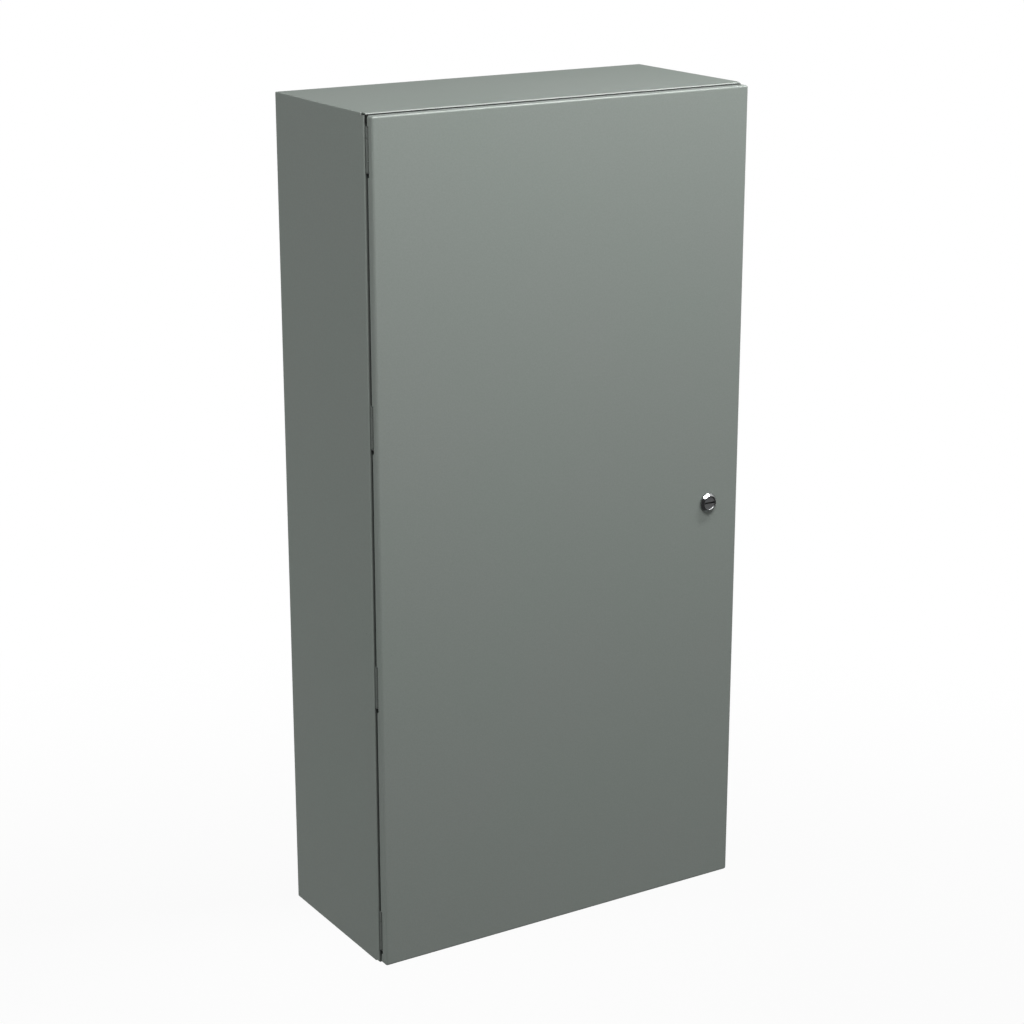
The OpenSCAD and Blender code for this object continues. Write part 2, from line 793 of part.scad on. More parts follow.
enclosure_body();
door_panel();
door_gasket();
stiffener(-stiffener_x);  // left_stiffener
stiffener(stiffener_x);  // right_stiffener
for (i = [1 : hinge_count]) {
    hinge_body_leaf(i);
    hinge_door_leaf(i);
    hinge_pin(i);
}
latch_housing();
latch_seal();
latch_nut();
latch_spindle();
spindle_oring();
latch_cam();
cam_rivets();
cam_washer();
cam_screw();
upper_latch_rod();
lower_latch_rod();
upper_rod_guide();
lower_rod_guide();
guide_studs();
guide_nuts();
panel_studs();
mounting_panel();
panel_washers();
panel_nuts();
on_body_ground() ground_stud();  // body_ground_stud
on_body_ground() ground_washer();  // body_ground_washer
on_body_ground() ground_nut();  // body_ground_nut
on_door_ground() ground_stud();  // door_ground_stud
on_door_ground() ground_washer();  // door_ground_washer
on_door_ground() ground_nut();  // door_ground_nut
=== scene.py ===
# %% [markdown]
# # A wall-mounted electrical enclosure
# The object is a tall box of folded and welded sheet steel. An overlay door on four short hinges covers its
# front, and one slotted quarter-turn latch closes it. The door hides a foam seal, stiffeners, latch rods and a
# white mounting panel.
#
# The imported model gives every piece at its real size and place. This script finishes the pieces: sheet metal
# gets smooth folds and softened edges, studs get their threads, the seal gets its foam bead, and every
# surface gets a painted, plated or moulded finish.

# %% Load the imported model
import json
from collections import namedtuple

import bmesh
import bpy
import numpy as np
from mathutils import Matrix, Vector

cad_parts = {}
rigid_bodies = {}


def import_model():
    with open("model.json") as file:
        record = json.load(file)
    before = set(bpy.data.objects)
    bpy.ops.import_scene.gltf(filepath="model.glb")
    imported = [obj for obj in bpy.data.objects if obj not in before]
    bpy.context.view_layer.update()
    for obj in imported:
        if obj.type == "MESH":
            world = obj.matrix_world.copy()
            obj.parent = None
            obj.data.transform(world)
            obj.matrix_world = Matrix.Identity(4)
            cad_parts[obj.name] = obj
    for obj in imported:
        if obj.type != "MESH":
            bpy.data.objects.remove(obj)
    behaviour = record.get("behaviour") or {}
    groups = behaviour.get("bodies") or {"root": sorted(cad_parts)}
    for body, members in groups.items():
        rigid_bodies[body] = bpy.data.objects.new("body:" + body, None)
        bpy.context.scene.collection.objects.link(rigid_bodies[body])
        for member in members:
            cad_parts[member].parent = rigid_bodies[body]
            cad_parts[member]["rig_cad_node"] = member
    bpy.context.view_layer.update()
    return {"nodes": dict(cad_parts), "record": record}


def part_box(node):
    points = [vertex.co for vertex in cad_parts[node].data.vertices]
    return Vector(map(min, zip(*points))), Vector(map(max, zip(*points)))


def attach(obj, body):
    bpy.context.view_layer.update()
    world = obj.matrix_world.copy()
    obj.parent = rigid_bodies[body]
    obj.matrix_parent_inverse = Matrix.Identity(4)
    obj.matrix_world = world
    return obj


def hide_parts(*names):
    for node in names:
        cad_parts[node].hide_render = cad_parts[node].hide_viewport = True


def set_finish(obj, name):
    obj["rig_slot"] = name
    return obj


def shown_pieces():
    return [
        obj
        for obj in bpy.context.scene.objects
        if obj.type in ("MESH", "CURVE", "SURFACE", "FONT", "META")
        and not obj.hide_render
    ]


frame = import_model()
nodes = frame["nodes"]
MM = 0.001

# %% [markdown]
# ## Surfaces from whole arrays
# Sheet metal is a profile carried along a path, so a grid of points describes it: one direction follows the
# profile, the other follows the path. Blender could extrude and bevel a cube instead, but with a grid each
# fold keeps its true radius and each row sits at a known distance. The functions below work on whole numpy
# arrays. Points that fall together, such as at a mitred corner, are merged when the mesh is made.

# %% Grids and pieces
MERGE = 0.002 * MM


def grid_faces(rows, columns, loop_rows=False, loop_columns=False):
    """Four-sided faces between neighbouring points of a grid that is stored row by row.

    A looped direction also joins its last line to its first one."""
    row = np.arange(rows if loop_rows else rows - 1)[:, None]
    column = np.arange(columns if loop_columns else columns - 1)[None, :]
    next_row, next_column = (row + 1) % rows, (column + 1) % columns
    corners = [(row, column), (row, next_column), (next_row, next_column), (next_row, column)]
    return np.stack([r * columns + c + 0 * (row + column) for r, c in corners], -1).reshape(-1, 4)


def make_piece(name, patches, body, slot, stands_for, closed=False):
    """Joins patches of (points, faces) into one mesh, merges points that lie together, and puts it on a body.

    An open skin is drawn with its faces outwards. A closed shell whose volume comes out negative is inside out,
    so all its faces are turned."""
    starts = np.cumsum([0] + [len(points) for points, _ in patches])
    points = np.concatenate([points for points, _ in patches])
    faces = np.concatenate([faces + start for (_, faces), start in zip(patches, starts)])
    mesh = bpy.data.meshes.new(name)
    mesh.from_pydata(points.tolist(), [], faces.tolist())
    merged = bmesh.new()
    merged.from_mesh(mesh)
    bmesh.ops.remove_doubles(merged, verts=merged.verts, dist=MERGE)
    if closed and merged.calc_volume(signed=True) < 0:
        bmesh.ops.reverse_faces(merged, faces=merged.faces)
    merged.to_mesh(mesh)
    merged.free()
    mesh.shade_smooth()
    piece = bpy.data.objects.new(name, mesh)
    bpy.context.scene.collection.objects.link(piece)
    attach(piece, body)
    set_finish(piece, slot)
    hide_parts(*stands_for)
    print(f"{name}: {len(mesh.polygons)} faces, rides on {body}, stands for {', '.join(stands_for)}")
    return piece


# %% Sheet thickness and soft edges
EDGE_ANGLE = np.radians(38)
EDGE_SEGMENTS = 2
FLAT_WEIGHT = 80


def soften_edges(piece, width):
    """Rounds the sharp edges of a piece a little, and lets large flat faces keep their own direction.

    In tight corners the rounding leaves points on top of each other, which are merged."""
    edge = piece.modifiers.new("soft_edges", "BEVEL")
    edge.width = width
    edge.segments = EDGE_SEGMENTS
    edge.limit_method = "ANGLE"
    edge.angle_limit = EDGE_ANGLE
    weld = piece.modifiers.new("tight_corners", "WELD")
    weld.merge_threshold = MERGE
    shading = piece.modifiers.new("flat_faces", "WEIGHTED_NORMAL")
    shading.weight = FLAT_WEIGHT


def two_skins(outer, inner):
    """Closes a sheet between an outer and an inner skin, drawn as patches with the same faces.

    The inner skin is turned round. An edge of the outer one that no neighbour runs along the other way is open,
    and a wall joins it to the same edge of the inner one."""
    outer_points, inner_points = [np.concatenate([points for points, _ in skin]) for skin in (outer, inner)]
    count = len(outer_points)
    starts = np.cumsum([0] + [len(points) for points, _ in outer])
    faces = np.concatenate([faces + start for (_, faces), start in zip(outer, starts)])
    _, same = np.unique(np.round(outer_points / MERGE), axis=0, return_inverse=True)
    edges = np.stack([faces, np.roll(faces, -1, axis=1)], -1).reshape(-1, 2)
    start, stop = same.ravel()[edges].T
    rim = edges[~np.isin(start * count + stop, stop * count + start)]
    walls = np.concatenate([rim[:, ::-1], rim + count], axis=1)
    return np.concatenate([outer_points, inner_points]), np.concatenate([faces, faces[:, ::-1] + count, walls])


def give_thickness(piece, thickness, edge_width):
    """Makes a sheet of a skin: the second face lies behind the drawn one, at the same distance all over."""
    sheet = piece.modifiers.new("sheet", "SOLIDIFY")
    sheet.thickness = thickness
    sheet.offset = -1
    sheet.use_even_offset = True
    soften_edges(piece, edge_width)


# %% Grid lines, holes and spot-weld marks
SQUARE = np.tan(np.linspace(-np.pi / 4, np.pi / 4, 9))
RING_SHARES = np.array([0, 0.35, 0.7, 1.0])
BOWL_SHARES = np.array([0.94, 0.86, 0.72, 0.4, 0])

# A spot is a round hole, or a dimple where it has a depth. It takes the place of a square that is twice its reach.
Spot = namedtuple("Spot", "x z radius reach depth flat", defaults=[np.inf])


def spot_lines(centre, reach):
    """Nine grid lines round a centre, spaced so that rays through them part at even angles."""
    return centre + reach * SQUARE


def grid_lines(low, high, step, *bands):
    """Even lines from low to high about a step apart.

    Bands of given lines are kept free of other lines, with a fifth of a step to spare at both ends."""
    even = np.linspace(low, high, max(2, round((high - low) / step) + 1))
    for band in bands:
        even = even[(even < band.min() - step / 5) | (even > band.max() + step / 5)]
    return np.unique(np.round(np.concatenate([even, [low, high], *bands]), 7))


def round_patch(spot, height, facing):
    """Faces from a square of grid lines in to a circle, which stays open as a hole or dips as a flat bowl.

    A row lies a share of the way from square to circle. A bowl's depth is 1 - share ** 6 of the full depth.
    Two upright flats may cut the circle off at the left and right."""
    t = SQUARE[:-1]
    one = np.ones_like(t)
    square = np.concatenate([[one, t], [-t, one], [-one, -t], [t, -one]], axis=1).T * spot.reach
    circle = square * spot.radius / np.linalg.norm(square, axis=1, keepdims=True)
    circle[:, 0] = np.clip(circle[:, 0], -spot.flat, spot.flat)
    rows = square + RING_SHARES[:, None, None] * (circle - square)
    depth = np.zeros(len(rows))
    if spot.depth:
        rows = np.concatenate([rows, BOWL_SHARES[:, None, None] * circle])
        depth = np.concatenate([depth, spot.depth * (1 - BOWL_SHARES**6)])
    y = np.broadcast_to(-height + facing * depth[:, None], rows.shape[:2])
    points = np.stack([spot.x + rows[..., 0], y, spot.z + rows[..., 1]], -1).reshape(-1, 3)
    return points, grid_faces(len(rows), len(t) * 4, loop_columns=True)[:, ::facing]


def flat_sheet(x_lines, z_lines, spots, height, facing=1):
    """Upright flat sheet at a height in front of the wall, facing front (1) or back (-1).

    The grid covers the given lines, and round each spot a square of cells gives way to a round patch."""
    x, z = np.meshgrid(x_lines, z_lines)
    points = np.stack([x, np.full_like(x, -height), z], -1).reshape(-1, 3)
    faces = grid_faces(len(z_lines), len(x_lines))[:, ::facing]
    middle = points[faces].mean(1)
    for spot in spots:
        faces_off = np.maximum(np.abs(middle[:, 0] - spot.x), np.abs(middle[:, 2] - spot.z)) > spot.reach
        faces, middle = faces[faces_off], middle[faces_off]
    return [(points, faces)] + [round_patch(spot, height, facing) for spot in spots]


# %% Profiles and the paths that carry them
FOLD_STEPS = 8
CORNER_STEPS = 6


def fold(centre, radius, start, stop, steps=FOLD_STEPS):
    """Points along a round fold, from one angle to another in degrees."""
    angle = np.radians(np.linspace(start, stop, steps + 1))
    return np.array(centre) + radius * np.stack([np.cos(angle), np.sin(angle)], -1)


def ring_columns(stops_x, stops_z, steps=CORNER_STEPS):
    """A path once round an upright rectangle, as six factors for each column of points.

    x is the first factor, plus the second times (half width - radius), plus the third times radius, and z
    likewise. Corners turn through a quarter circle; straight runs have a column at each stop."""
    turn = np.linspace(0, np.pi / 2, steps + 1)
    runs = [np.sort(stops_x)[::-1], np.sort(stops_z)[::-1], np.sort(stops_x), np.sort(stops_z)]
    columns = []
    for quarter, (right, up) in enumerate([(1, 1), (-1, 1), (-1, -1), (1, -1)]):
        angle = turn + quarter * np.pi / 2
        none, whole = np.zeros_like(angle), np.ones_like(angle)
        columns.append([none, right * whole, np.cos(angle), none, up * whole, np.sin(angle)])
        stop = runs[quarter]
        none, whole = np.zeros_like(stop), np.ones_like(stop)
        along_x = [stop, none, none, none, up * whole, up * whole]
        along_z = [none, right * whole, right * whole, stop, none, none]
        columns.append(along_z if quarter % 2 else along_x)
    return np.concatenate(columns, axis=1).T


def carry_round(profile, columns, half_w, half_h, radius, loop_profile=False):
    """Carries a profile of (distance in from the side, height in front of the wall) round a rectangle.

    Each profile point has its own ring: half sizes and corner radius shrink by its distance, and a stop
    never passes the ring's own corner."""
    inset, height = profile[:, 0, None], profile[:, 1, None]
    r = np.maximum(radius - inset, 0)
    run_x, run_z = half_w - inset - r, half_h - inset - r
    x0, x1, x2, z0, z1, z2 = columns.T
    x = np.clip(x0, -run_x, run_x) + x1 * run_x + x2 * r
    z = np.clip(z0, -run_z, run_z) + z1 * run_z + z2 * r
    points = np.stack([x, np.broadcast_to(-height, x.shape), z], -1).reshape(-1, 3)
    return points, grid_faces(len(profile), len(columns), loop_rows=loop_profile, loop_columns=True)


def carry_up(profile, z_lines, facing=1):
    """Carries a profile of (x, height in front of the wall) straight up along the given lines."""
    x, z = np.meshgrid(profile[:, 0], z_lines)
    y = np.broadcast_to(-profile[:, 1], x.shape)
    points = np.stack([x, y, z], -1).reshape(-1, 3)
    return points, grid_faces(len(z_lines), len(profile))[:, ::facing]


# %% [markdown]
# ## The body
# The body is one folded tub: a back, four sides, a front flange all round, and a narrow lip that stands
# forward from the flange to press into the seal. Its corner seams are welded and ground, and each front corner
# has a small open relief where the folds meet. A profile carried round the rectangle draws the tub. Solidify
# could give it the thickness of the sheet, but the radius of the ground corners is smaller than that thickness,
# and Solidify would fold them over inside. So the inner skin is drawn too, with its own smaller radii.

# %% Body shell
SHEET = 1.9 * MM
EDGE = 0.25 * MM
LINE_STEP = 60 * MM
BODY_FOLD = 3.2 * MM
BODY_SEAM = 1.2 * MM
FLANGE = 20 * MM
RELIEF_W = 2.6 * MM
RELIEF_L = 10 * MM
RELIEF_END = np.radians(67.5)
RELIEF_SPREAD = 0.4
WALL_HOLE_R = 5.5 * MM
WALL_HOLE_REACH = 9 * MM
WALL_HOLE_INSET = 32 * MM

body_low, body_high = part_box("enclosure_body")
body_w, body_h = body_high.x, body_high.z
lip_v = -body_low.y
flange_v = -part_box("hinge_1_body_leaf")[1].y


def body_profile(depth):
    """Back edge, back fold, side, front fold, flange, and the fold up into the lip, at a depth in the sheet.

    Outer folds lose the depth from their radius, and the hollow fold of the lip gains it."""
    r, lip_r = BODY_FOLD, BODY_FOLD - SHEET
    side_v = np.append(np.arange(LINE_STEP, flange_v - LINE_STEP / 2, LINE_STEP), flange_v - RELIEF_L)
    return np.concatenate([
        [[FLANGE, depth]],
        fold((r, r), r - depth, 270, 180),
        np.stack([np.full_like(side_v, depth), side_v], -1),
        fold((r, flange_v - r), r - depth, 180, 90),
        fold((FLANGE - r, flange_v + lip_r), lip_r + depth, 270, 360),
        [[FLANGE - SHEET + depth, lip_v]],
    ])


def body_shell():
    """The tub: the ring of sides, less the corner reliefs, and the back with its four wall holes.

    A relief runs from the side three quarters round the front fold, and spreads inwards to stay open there."""
    hole_x, hole_z = body_w - WALL_HOLE_INSET, body_h - WALL_HOLE_INSET
    x_lines = grid_lines(FLANGE - body_w, body_w - FLANGE, LINE_STEP,
                         spot_lines(-hole_x, WALL_HOLE_REACH), spot_lines(hole_x, WALL_HOLE_REACH))
    z_lines = grid_lines(FLANGE - body_h, body_h - FLANGE, LINE_STEP,
                         spot_lines(-hole_z, WALL_HOLE_REACH), spot_lines(hole_z, WALL_HOLE_REACH))
    spots = [Spot(x, z, WALL_HOLE_R, WALL_HOLE_REACH, 0) for x in (-hole_x, hole_x) for z in (-hole_z, hole_z)]

    def skin(depth):
        """Ring and back at a depth in the sheet."""
        relief_x, relief_z = np.array([body_w, body_h]) - RELIEF_W - RELIEF_SPREAD * depth
        columns = ring_columns(np.append(x_lines[1:-1], [-relief_x, relief_x]),
                               np.append(z_lines[1:-1], [-relief_z, relief_z]))
        ring = carry_round(body_profile(depth), columns, body_w, body_h, BODY_SEAM)
        return [ring] + flat_sheet(x_lines, z_lines, spots, depth, facing=-1)

    outer, inner = skin(0), skin(SHEET)
    points, faces = outer[0]
    x, y, z = np.abs(points[faces].mean(1)).T
    relief_end = flange_v - BODY_FOLD * (1 - np.sin(RELIEF_END))
    corner = np.maximum(body_w - x, body_h - z) < RELIEF_W
    outer[0] = points, faces[~(corner & (y > flange_v - RELIEF_L) & (y < relief_end))]
    piece = make_piece("body_shell", [two_skins(outer, inner)], "enclosure", "grey_powder_coat",
                       ["enclosure_body"], closed=True)
    soften_edges(piece, EDGE)


body_shell()

# %% [markdown]
# ## The door
# The door is a shallow pan: a flat face with all four edges turned back. The left edge is notched for each
# hinge, with a small open pocket below the barrel, and the face has one hole for the latch. Its corners are
# rounder than the sheet is thick, so one skin is enough: the notches are left out of the grid, and Solidify adds
# the thickness.

# %% Door shell
DOOR_FOLD = 3 * MM
DOOR_RIM = 10 * MM
DOOR_CORNER = 3.5 * MM
POCKET = 6.8 * MM
NOTCH_TOP = 0.7 * MM
NOTCH_GAP = 1.7 * MM
LATCH_HOLE_R = 11.3 * MM
LATCH_HOLE_FLAT = 10.35 * MM
LATCH_HOLE_REACH = 16 * MM
HINGES = (1, 2, 3, 4)


def middles(node):
    """The middle of a node's box as seen from the front."""
    low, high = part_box(node)
    return (low.x + high.x) / 2, (low.z + high.z) / 2


door_low, door_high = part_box("door_panel")
door_w, door_h = door_high.x, door_high.z
door_front, door_back = -door_low.y, -door_high.y
door_inner = door_front - SHEET
notch_v = NOTCH_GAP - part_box("hinge_1_body_leaf")[0].y
latch_x, latch_z = middles("latch_seal")


def hinge_notches():
    """Lower and upper end of each notch, from the hinge leaf that it holds."""
    leaves = [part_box(f"hinge_{i}_door_leaf") for i in HINGES]
    return [np.array([low.z - POCKET, high.z + NOTCH_TOP]) for low, high in leaves]


def door_profile():
    """Turned edge from the back, the fold, and the rim of the face."""
    r = DOOR_FOLD
    return np.concatenate([
        [[0, door_back], [0, notch_v]],
        fold((r, door_front - r), r, 180, 90),
        [[DOOR_RIM, door_front]],
    ])


def door_shell():
    """The pan: the ring of turned edges, less the hinge notches, and the face with its latch hole."""
    x_lines = grid_lines(DOOR_RIM - door_w, door_w - DOOR_RIM, LINE_STEP, spot_lines(latch_x, LATCH_HOLE_REACH))
    z_lines = grid_lines(DOOR_RIM - door_h, door_h - DOOR_RIM, LINE_STEP,
                         spot_lines(latch_z, LATCH_HOLE_REACH), *hinge_notches())
    columns = ring_columns(x_lines[1:-1], z_lines[1:-1])
    points, faces = carry_round(door_profile(), columns, door_w, door_h, DOOR_CORNER)
    x, y, z = points[faces].mean(1).T
    cut = np.any([(z > low) & (z < high) for low, high in hinge_notches()], axis=0)
    cut &= (x < MERGE - door_w) & (-y < notch_v)
    hole = Spot(latch_x, latch_z, LATCH_HOLE_R, LATCH_HOLE_REACH, 0, LATCH_HOLE_FLAT)
    face = flat_sheet(x_lines, z_lines, [hole], door_front)
    piece = make_piece("door_shell", [(points, faces[~cut])] + face, "door", "grey_powder_coat", ["door_panel"])
    give_thickness(piece, SHEET, EDGE)


door_shell()

# %% [markdown]
# ## Door stiffeners
# Two hat-shaped channels are spot-welded inside the door to keep the tall sheet flat. A row of holes takes
# accessories. Each weld leaves a small flat dimple in the channel's edge, and dimples catch the light in a way
# that a bump texture does not, so they are part of the grid.

# %% Stiffeners
HAT_SHEET = 1.5 * MM
HAT_W = 24 * MM
HAT_FOLD = 2.8 * MM
HAT_HOLE_R = 3.3 * MM
HAT_HOLE_REACH = 6 * MM
HAT_HOLE_PITCH = 50 * MM
WELD_R = 2.5 * MM
WELD_REACH = 4 * MM
WELD_DEPTH = 0.25 * MM
WELD_PITCH = 2 * HAT_HOLE_PITCH


def centred_rows(length, pitch, offset):
    """Places along a length, a pitch apart, shifted from the middle by an offset, inside both ends."""
    count = int(length / pitch) + 2
    places = pitch * np.arange(-count, count + 1) + offset
    return places[np.abs(places) < length / 2 - HAT_HOLE_PITCH / 4]


def stiffener(name):
    """Two welded edges with dimples, two webs between round folds, and a top with its row of holes."""
    low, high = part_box(name)
    x, half, back = (low.x + high.x) / 2, (high.x - low.x) / 2, -high.y
    edge_v, foot = door_inner - HAT_SHEET, HAT_FOLD - HAT_SHEET
    holes = centred_rows(high.z - low.z, HAT_HOLE_PITCH, 0)
    welds = centred_rows(high.z - low.z, WELD_PITCH, HAT_HOLE_PITCH / 2)
    z_lines = grid_lines(low.z, high.z, LINE_STEP, *[spot_lines(z, HAT_HOLE_REACH) for z in holes],
                         *[spot_lines(z, WELD_REACH) for z in welds])
    foot_x, top_x = HAT_W / 2 + foot, HAT_W / 2 - HAT_FOLD
    weld_x = (half + foot_x) / 2
    web = np.concatenate([
        fold((-foot_x, edge_v - foot), foot, 90, 0, FOLD_STEPS // 2),
        fold((-top_x, back + HAT_FOLD), HAT_FOLD, 180, 270, FOLD_STEPS // 2),
    ])
    top_lines = grid_lines(x - top_x, x + top_x, LINE_STEP, spot_lines(x, HAT_HOLE_REACH))
    patches = flat_sheet(top_lines, z_lines, [Spot(x, z, HAT_HOLE_R, HAT_HOLE_REACH, 0) for z in holes], back, -1)
    for side in (-1, 1):
        patches.append(carry_up(web * [-side, 1] + [x, 0], z_lines, side))
        edge_lines = grid_lines(*sorted([x + side * foot_x, x + side * half]), LINE_STEP,
                                spot_lines(x + side * weld_x, WELD_REACH))
        marks = [Spot(x + side * weld_x, z, WELD_R, WELD_REACH, WELD_DEPTH) for z in welds]
        patches += flat_sheet(edge_lines, z_lines, marks, edge_v, -1)
    piece = make_piece(f"{name}_channel", patches, "door", "grey_powder_coat", [name])
    give_thickness(piece, HAT_SHEET, EDGE)


for name in ("left_stiffener", "right_stiffener"):
    stiffener(name)

# %% [markdown]
# ## Mounting panel
# The panel that carries the equipment is a thicker white sheet with its two long edges turned back. Four holes
# fit over the studs in the back of the body.

# %% Mounting panel
PANEL_SHEET = 2.7 * MM
PANEL_FOLD = 4.5 * MM
PANEL_STUD_INSET = 18 * MM
PANEL_HOLE_R = 4.3 * MM
PANEL_HOLE_REACH = 8 * MM

panel_low, panel_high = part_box("mounting_panel")
panel_x, panel_z = panel_high.x - PANEL_STUD_INSET, panel_high.z - PANEL_STUD_INSET
panel_front, panel_back = -panel_low.y, -panel_low.y - PANEL_SHEET
panel_studs = [(x, z) for x in (-panel_x, panel_x) for z in (-panel_z, panel_z)]


def panel_sheet():
    """Front with four holes between two folded edges."""
    half, r = panel_high.x, PANEL_FOLD
    z_lines = grid_lines(panel_low.z, panel_high.z, LINE_STEP, spot_lines(-panel_z, PANEL_HOLE_REACH),
                         spot_lines(panel_z, PANEL_HOLE_REACH))
    x_lines = grid_lines(r - half, half - r, LINE_STEP, spot_lines(-panel_x, PANEL_HOLE_REACH),
                         spot_lines(panel_x, PANEL_HOLE_REACH))
    edge = np.concatenate([[[-half, -panel_high.y]], fold((r - half, panel_front - r), r, 180, 90)])
    spots = [Spot(x, z, PANEL_HOLE_R, PANEL_HOLE_REACH, 0) for x, z in panel_studs]
    patches = flat_sheet(x_lines, z_lines, spots, panel_front)
    patches += [carry_up(edge * [-side, 1], z_lines, -side) for side in (-1, 1)]
    piece = make_piece("panel_sheet", patches, "enclosure", "panel_enamel", ["mounting_panel"])
    give_thickness(piece, PANEL_SHEET, EDGE)


panel_sheet()

# %% [markdown]
# ## Door seal
# The seal is a bead of foam that a nozzle lays on the inside of the door in one loop. It is soft, so the lip
# of the body leaves a groove along its crown. Its section is a formula of the place across the bead, the loop is
# a rounded rectangle, and slow waves along the loop give the slightly uneven edge of a poured bead.

# %% Foam bead
BEAD_W = 12 * MM
BEAD_H = 6.3 * MM
GROOVE_H = 1.25 * MM
GROOVE_W = 2.2 * MM
BEAD_CORNER = 9 * MM
BEAD_POINTS = 25
BEAD_STEP = 8 * MM
BEAD_WAVE = 0.12 * MM
BEAD_WAVES = ((37, 1, 0), (83, 0.6, 1), (151, 0.4, 2))


def bead_section():
    """Across the bead from -1 to 1: a crown of height sqrt(1 - across ** 4), less a bell-shaped groove."""
    across = np.sin(np.linspace(-np.pi / 2, np.pi / 2, BEAD_POINTS))
    groove = GROOVE_H * np.exp(-((across * BEAD_W / 2 / GROOVE_W) ** 2))
    height = np.maximum(BEAD_H * np.sqrt(np.maximum(1 - across**4, 0)) - groove, 0)
    foot = across[-2:0:-1]
    return np.concatenate([across, foot]) * BEAD_W / 2, np.concatenate([height, 0 * foot])


def foam_bead():
    """The bead's section carried round the door. Three sine waves sway its width.

    Each wave has a number of turns in the loop, a size and a phase."""
    across, height = bead_section()
    middle = FLANGE - SHEET / 2
    profile = np.stack([middle + across, door_inner - height], -1)
    x_stops = grid_lines(-body_w + 2 * FLANGE, body_w - 2 * FLANGE, BEAD_STEP)
    z_stops = grid_lines(-body_h + 2 * FLANGE, body_h - 2 * FLANGE, BEAD_STEP)
    columns = ring_columns(x_stops, z_stops, 2 * CORNER_STEPS)
    points, faces = carry_round(profile, columns, body_w, body_h, BEAD_CORNER + middle, loop_profile=True)
    share = np.tile(np.linspace(0, 2 * np.pi, len(columns), endpoint=False), len(profile))
    sway = sum(size * np.sin(turns * share + phase) for turns, size, phase in BEAD_WAVES)
    outwards = np.sign(np.repeat(across, len(columns))) * BEAD_WAVE * sway
    points[:, 0] -= outwards * np.sign(points[:, 0]) * (np.abs(points[:, 0]) > body_w - 3 * FLANGE / 2)
    points[:, 2] -= outwards * np.sign(points[:, 2]) * (np.abs(points[:, 2]) > body_h - 3 * FLANGE / 2)
    make_piece("foam_bead", [(points, faces)], "door", "black_foam", ["door_gasket"], closed=True)


foam_bead()

# %% [markdown]
# ## Studs and their threads
# The studs are welded to the sheet by one end, and each has a rolled thread. A turned piece is a list of rows:
# a row has a distance along the axis and a radius for each angle round it. A thread is then one formula, the
# radius less a triangle wave that climbs one pitch in each turn.

# %% Turned pieces
AROUND = 32
THREAD_ROWS = 8
THREAD_DEPTH = 0.6
CREST_SLOPE, CREST_FLAT = 1.5, 0.25
CHAMFER = 0.8 * MM


def plain_rows(profile, around=AROUND):
    """Rows of a turned profile, given as (distance along the axis, radius)."""
    s, r = np.array(profile, float).T
    return np.repeat(s[:, None], around, 1), np.repeat(r[:, None], around, 1)


def thread_rows(start, stop, radius, pitch, around=AROUND):
    """Rows of a thread. The depth follows a wave that is 0 on the flat crest and 1 in the root.

    The full depth is a share of the pitch. Near the free end a cone limits the radius, so the first turn fades
    in."""
    count = round(abs(stop - start) / pitch * THREAD_ROWS) + 1
    s = np.repeat(np.linspace(start, stop, count)[:, None], around, 1)
    angle = np.linspace(0, 1, around, endpoint=False)
    wave = np.abs(2 * ((s / pitch - angle) % 1) - 1)
    depth = THREAD_DEPTH * pitch * np.clip(CREST_SLOPE * wave - CREST_FLAT, 0, 1)
    return s, np.minimum(radius - depth, radius - CHAMFER + np.abs(stop - s))


def turned(rows, x, z, y, towards, around=AROUND, loop_profile=False):
    """Points round an axis along Y through (x, z), from rows that start at y and run towards -1 or 1."""
    s = np.concatenate([s for s, _ in rows])
    r = np.concatenate([r for _, r in rows])
    angle = np.linspace(0, 2 * np.pi, around, endpoint=False)
    points = np.stack([x + r * np.cos(angle), y + towards * s, z + r * np.sin(angle)], -1)
    return points.reshape(-1, 3), grid_faces(len(s), around, loop_rows=loop_profile, loop_columns=True)


# %% Threaded studs
FRONT, BACK = -1, 1
COLLAR_CHAMFER = 0.6 * MM
COLLAR_R = 7 * MM
M8_R, M8_PITCH = 4 * MM, 1.25 * MM
M6_R, M6_PITCH = 3 * MM, 1.0 * MM
M5_R, M5_PITCH = 2.5 * MM, 0.8 * MM
GUIDE_STUD_SPACING = 44 * MM


def stud_rows(length, radius, pitch, start=0):
    """A thread from the weld to the free end, closed by a flat tip."""
    tip = [(length, 0)]
    return [plain_rows([(start, 0), (start, radius)]), thread_rows(start, length, radius, pitch), plain_rows(tip)]


def collar_rows(height):
    """A plain collar with a small chamfer, on which the panel rests."""
    c = COLLAR_CHAMFER
    return [plain_rows([(0, 0), (0, COLLAR_R), (height - c, COLLAR_R), (height, COLLAR_R - c), (height, M8_R)])]


def stud_group(name, node, places, rows, y, towards, body):
    """Alike studs at several places, as one piece."""
    patches = [turned(rows, x, z, y, towards) for x, z in places]
    make_piece(name, patches, body, "zinc_plated_steel", [node], closed=True)


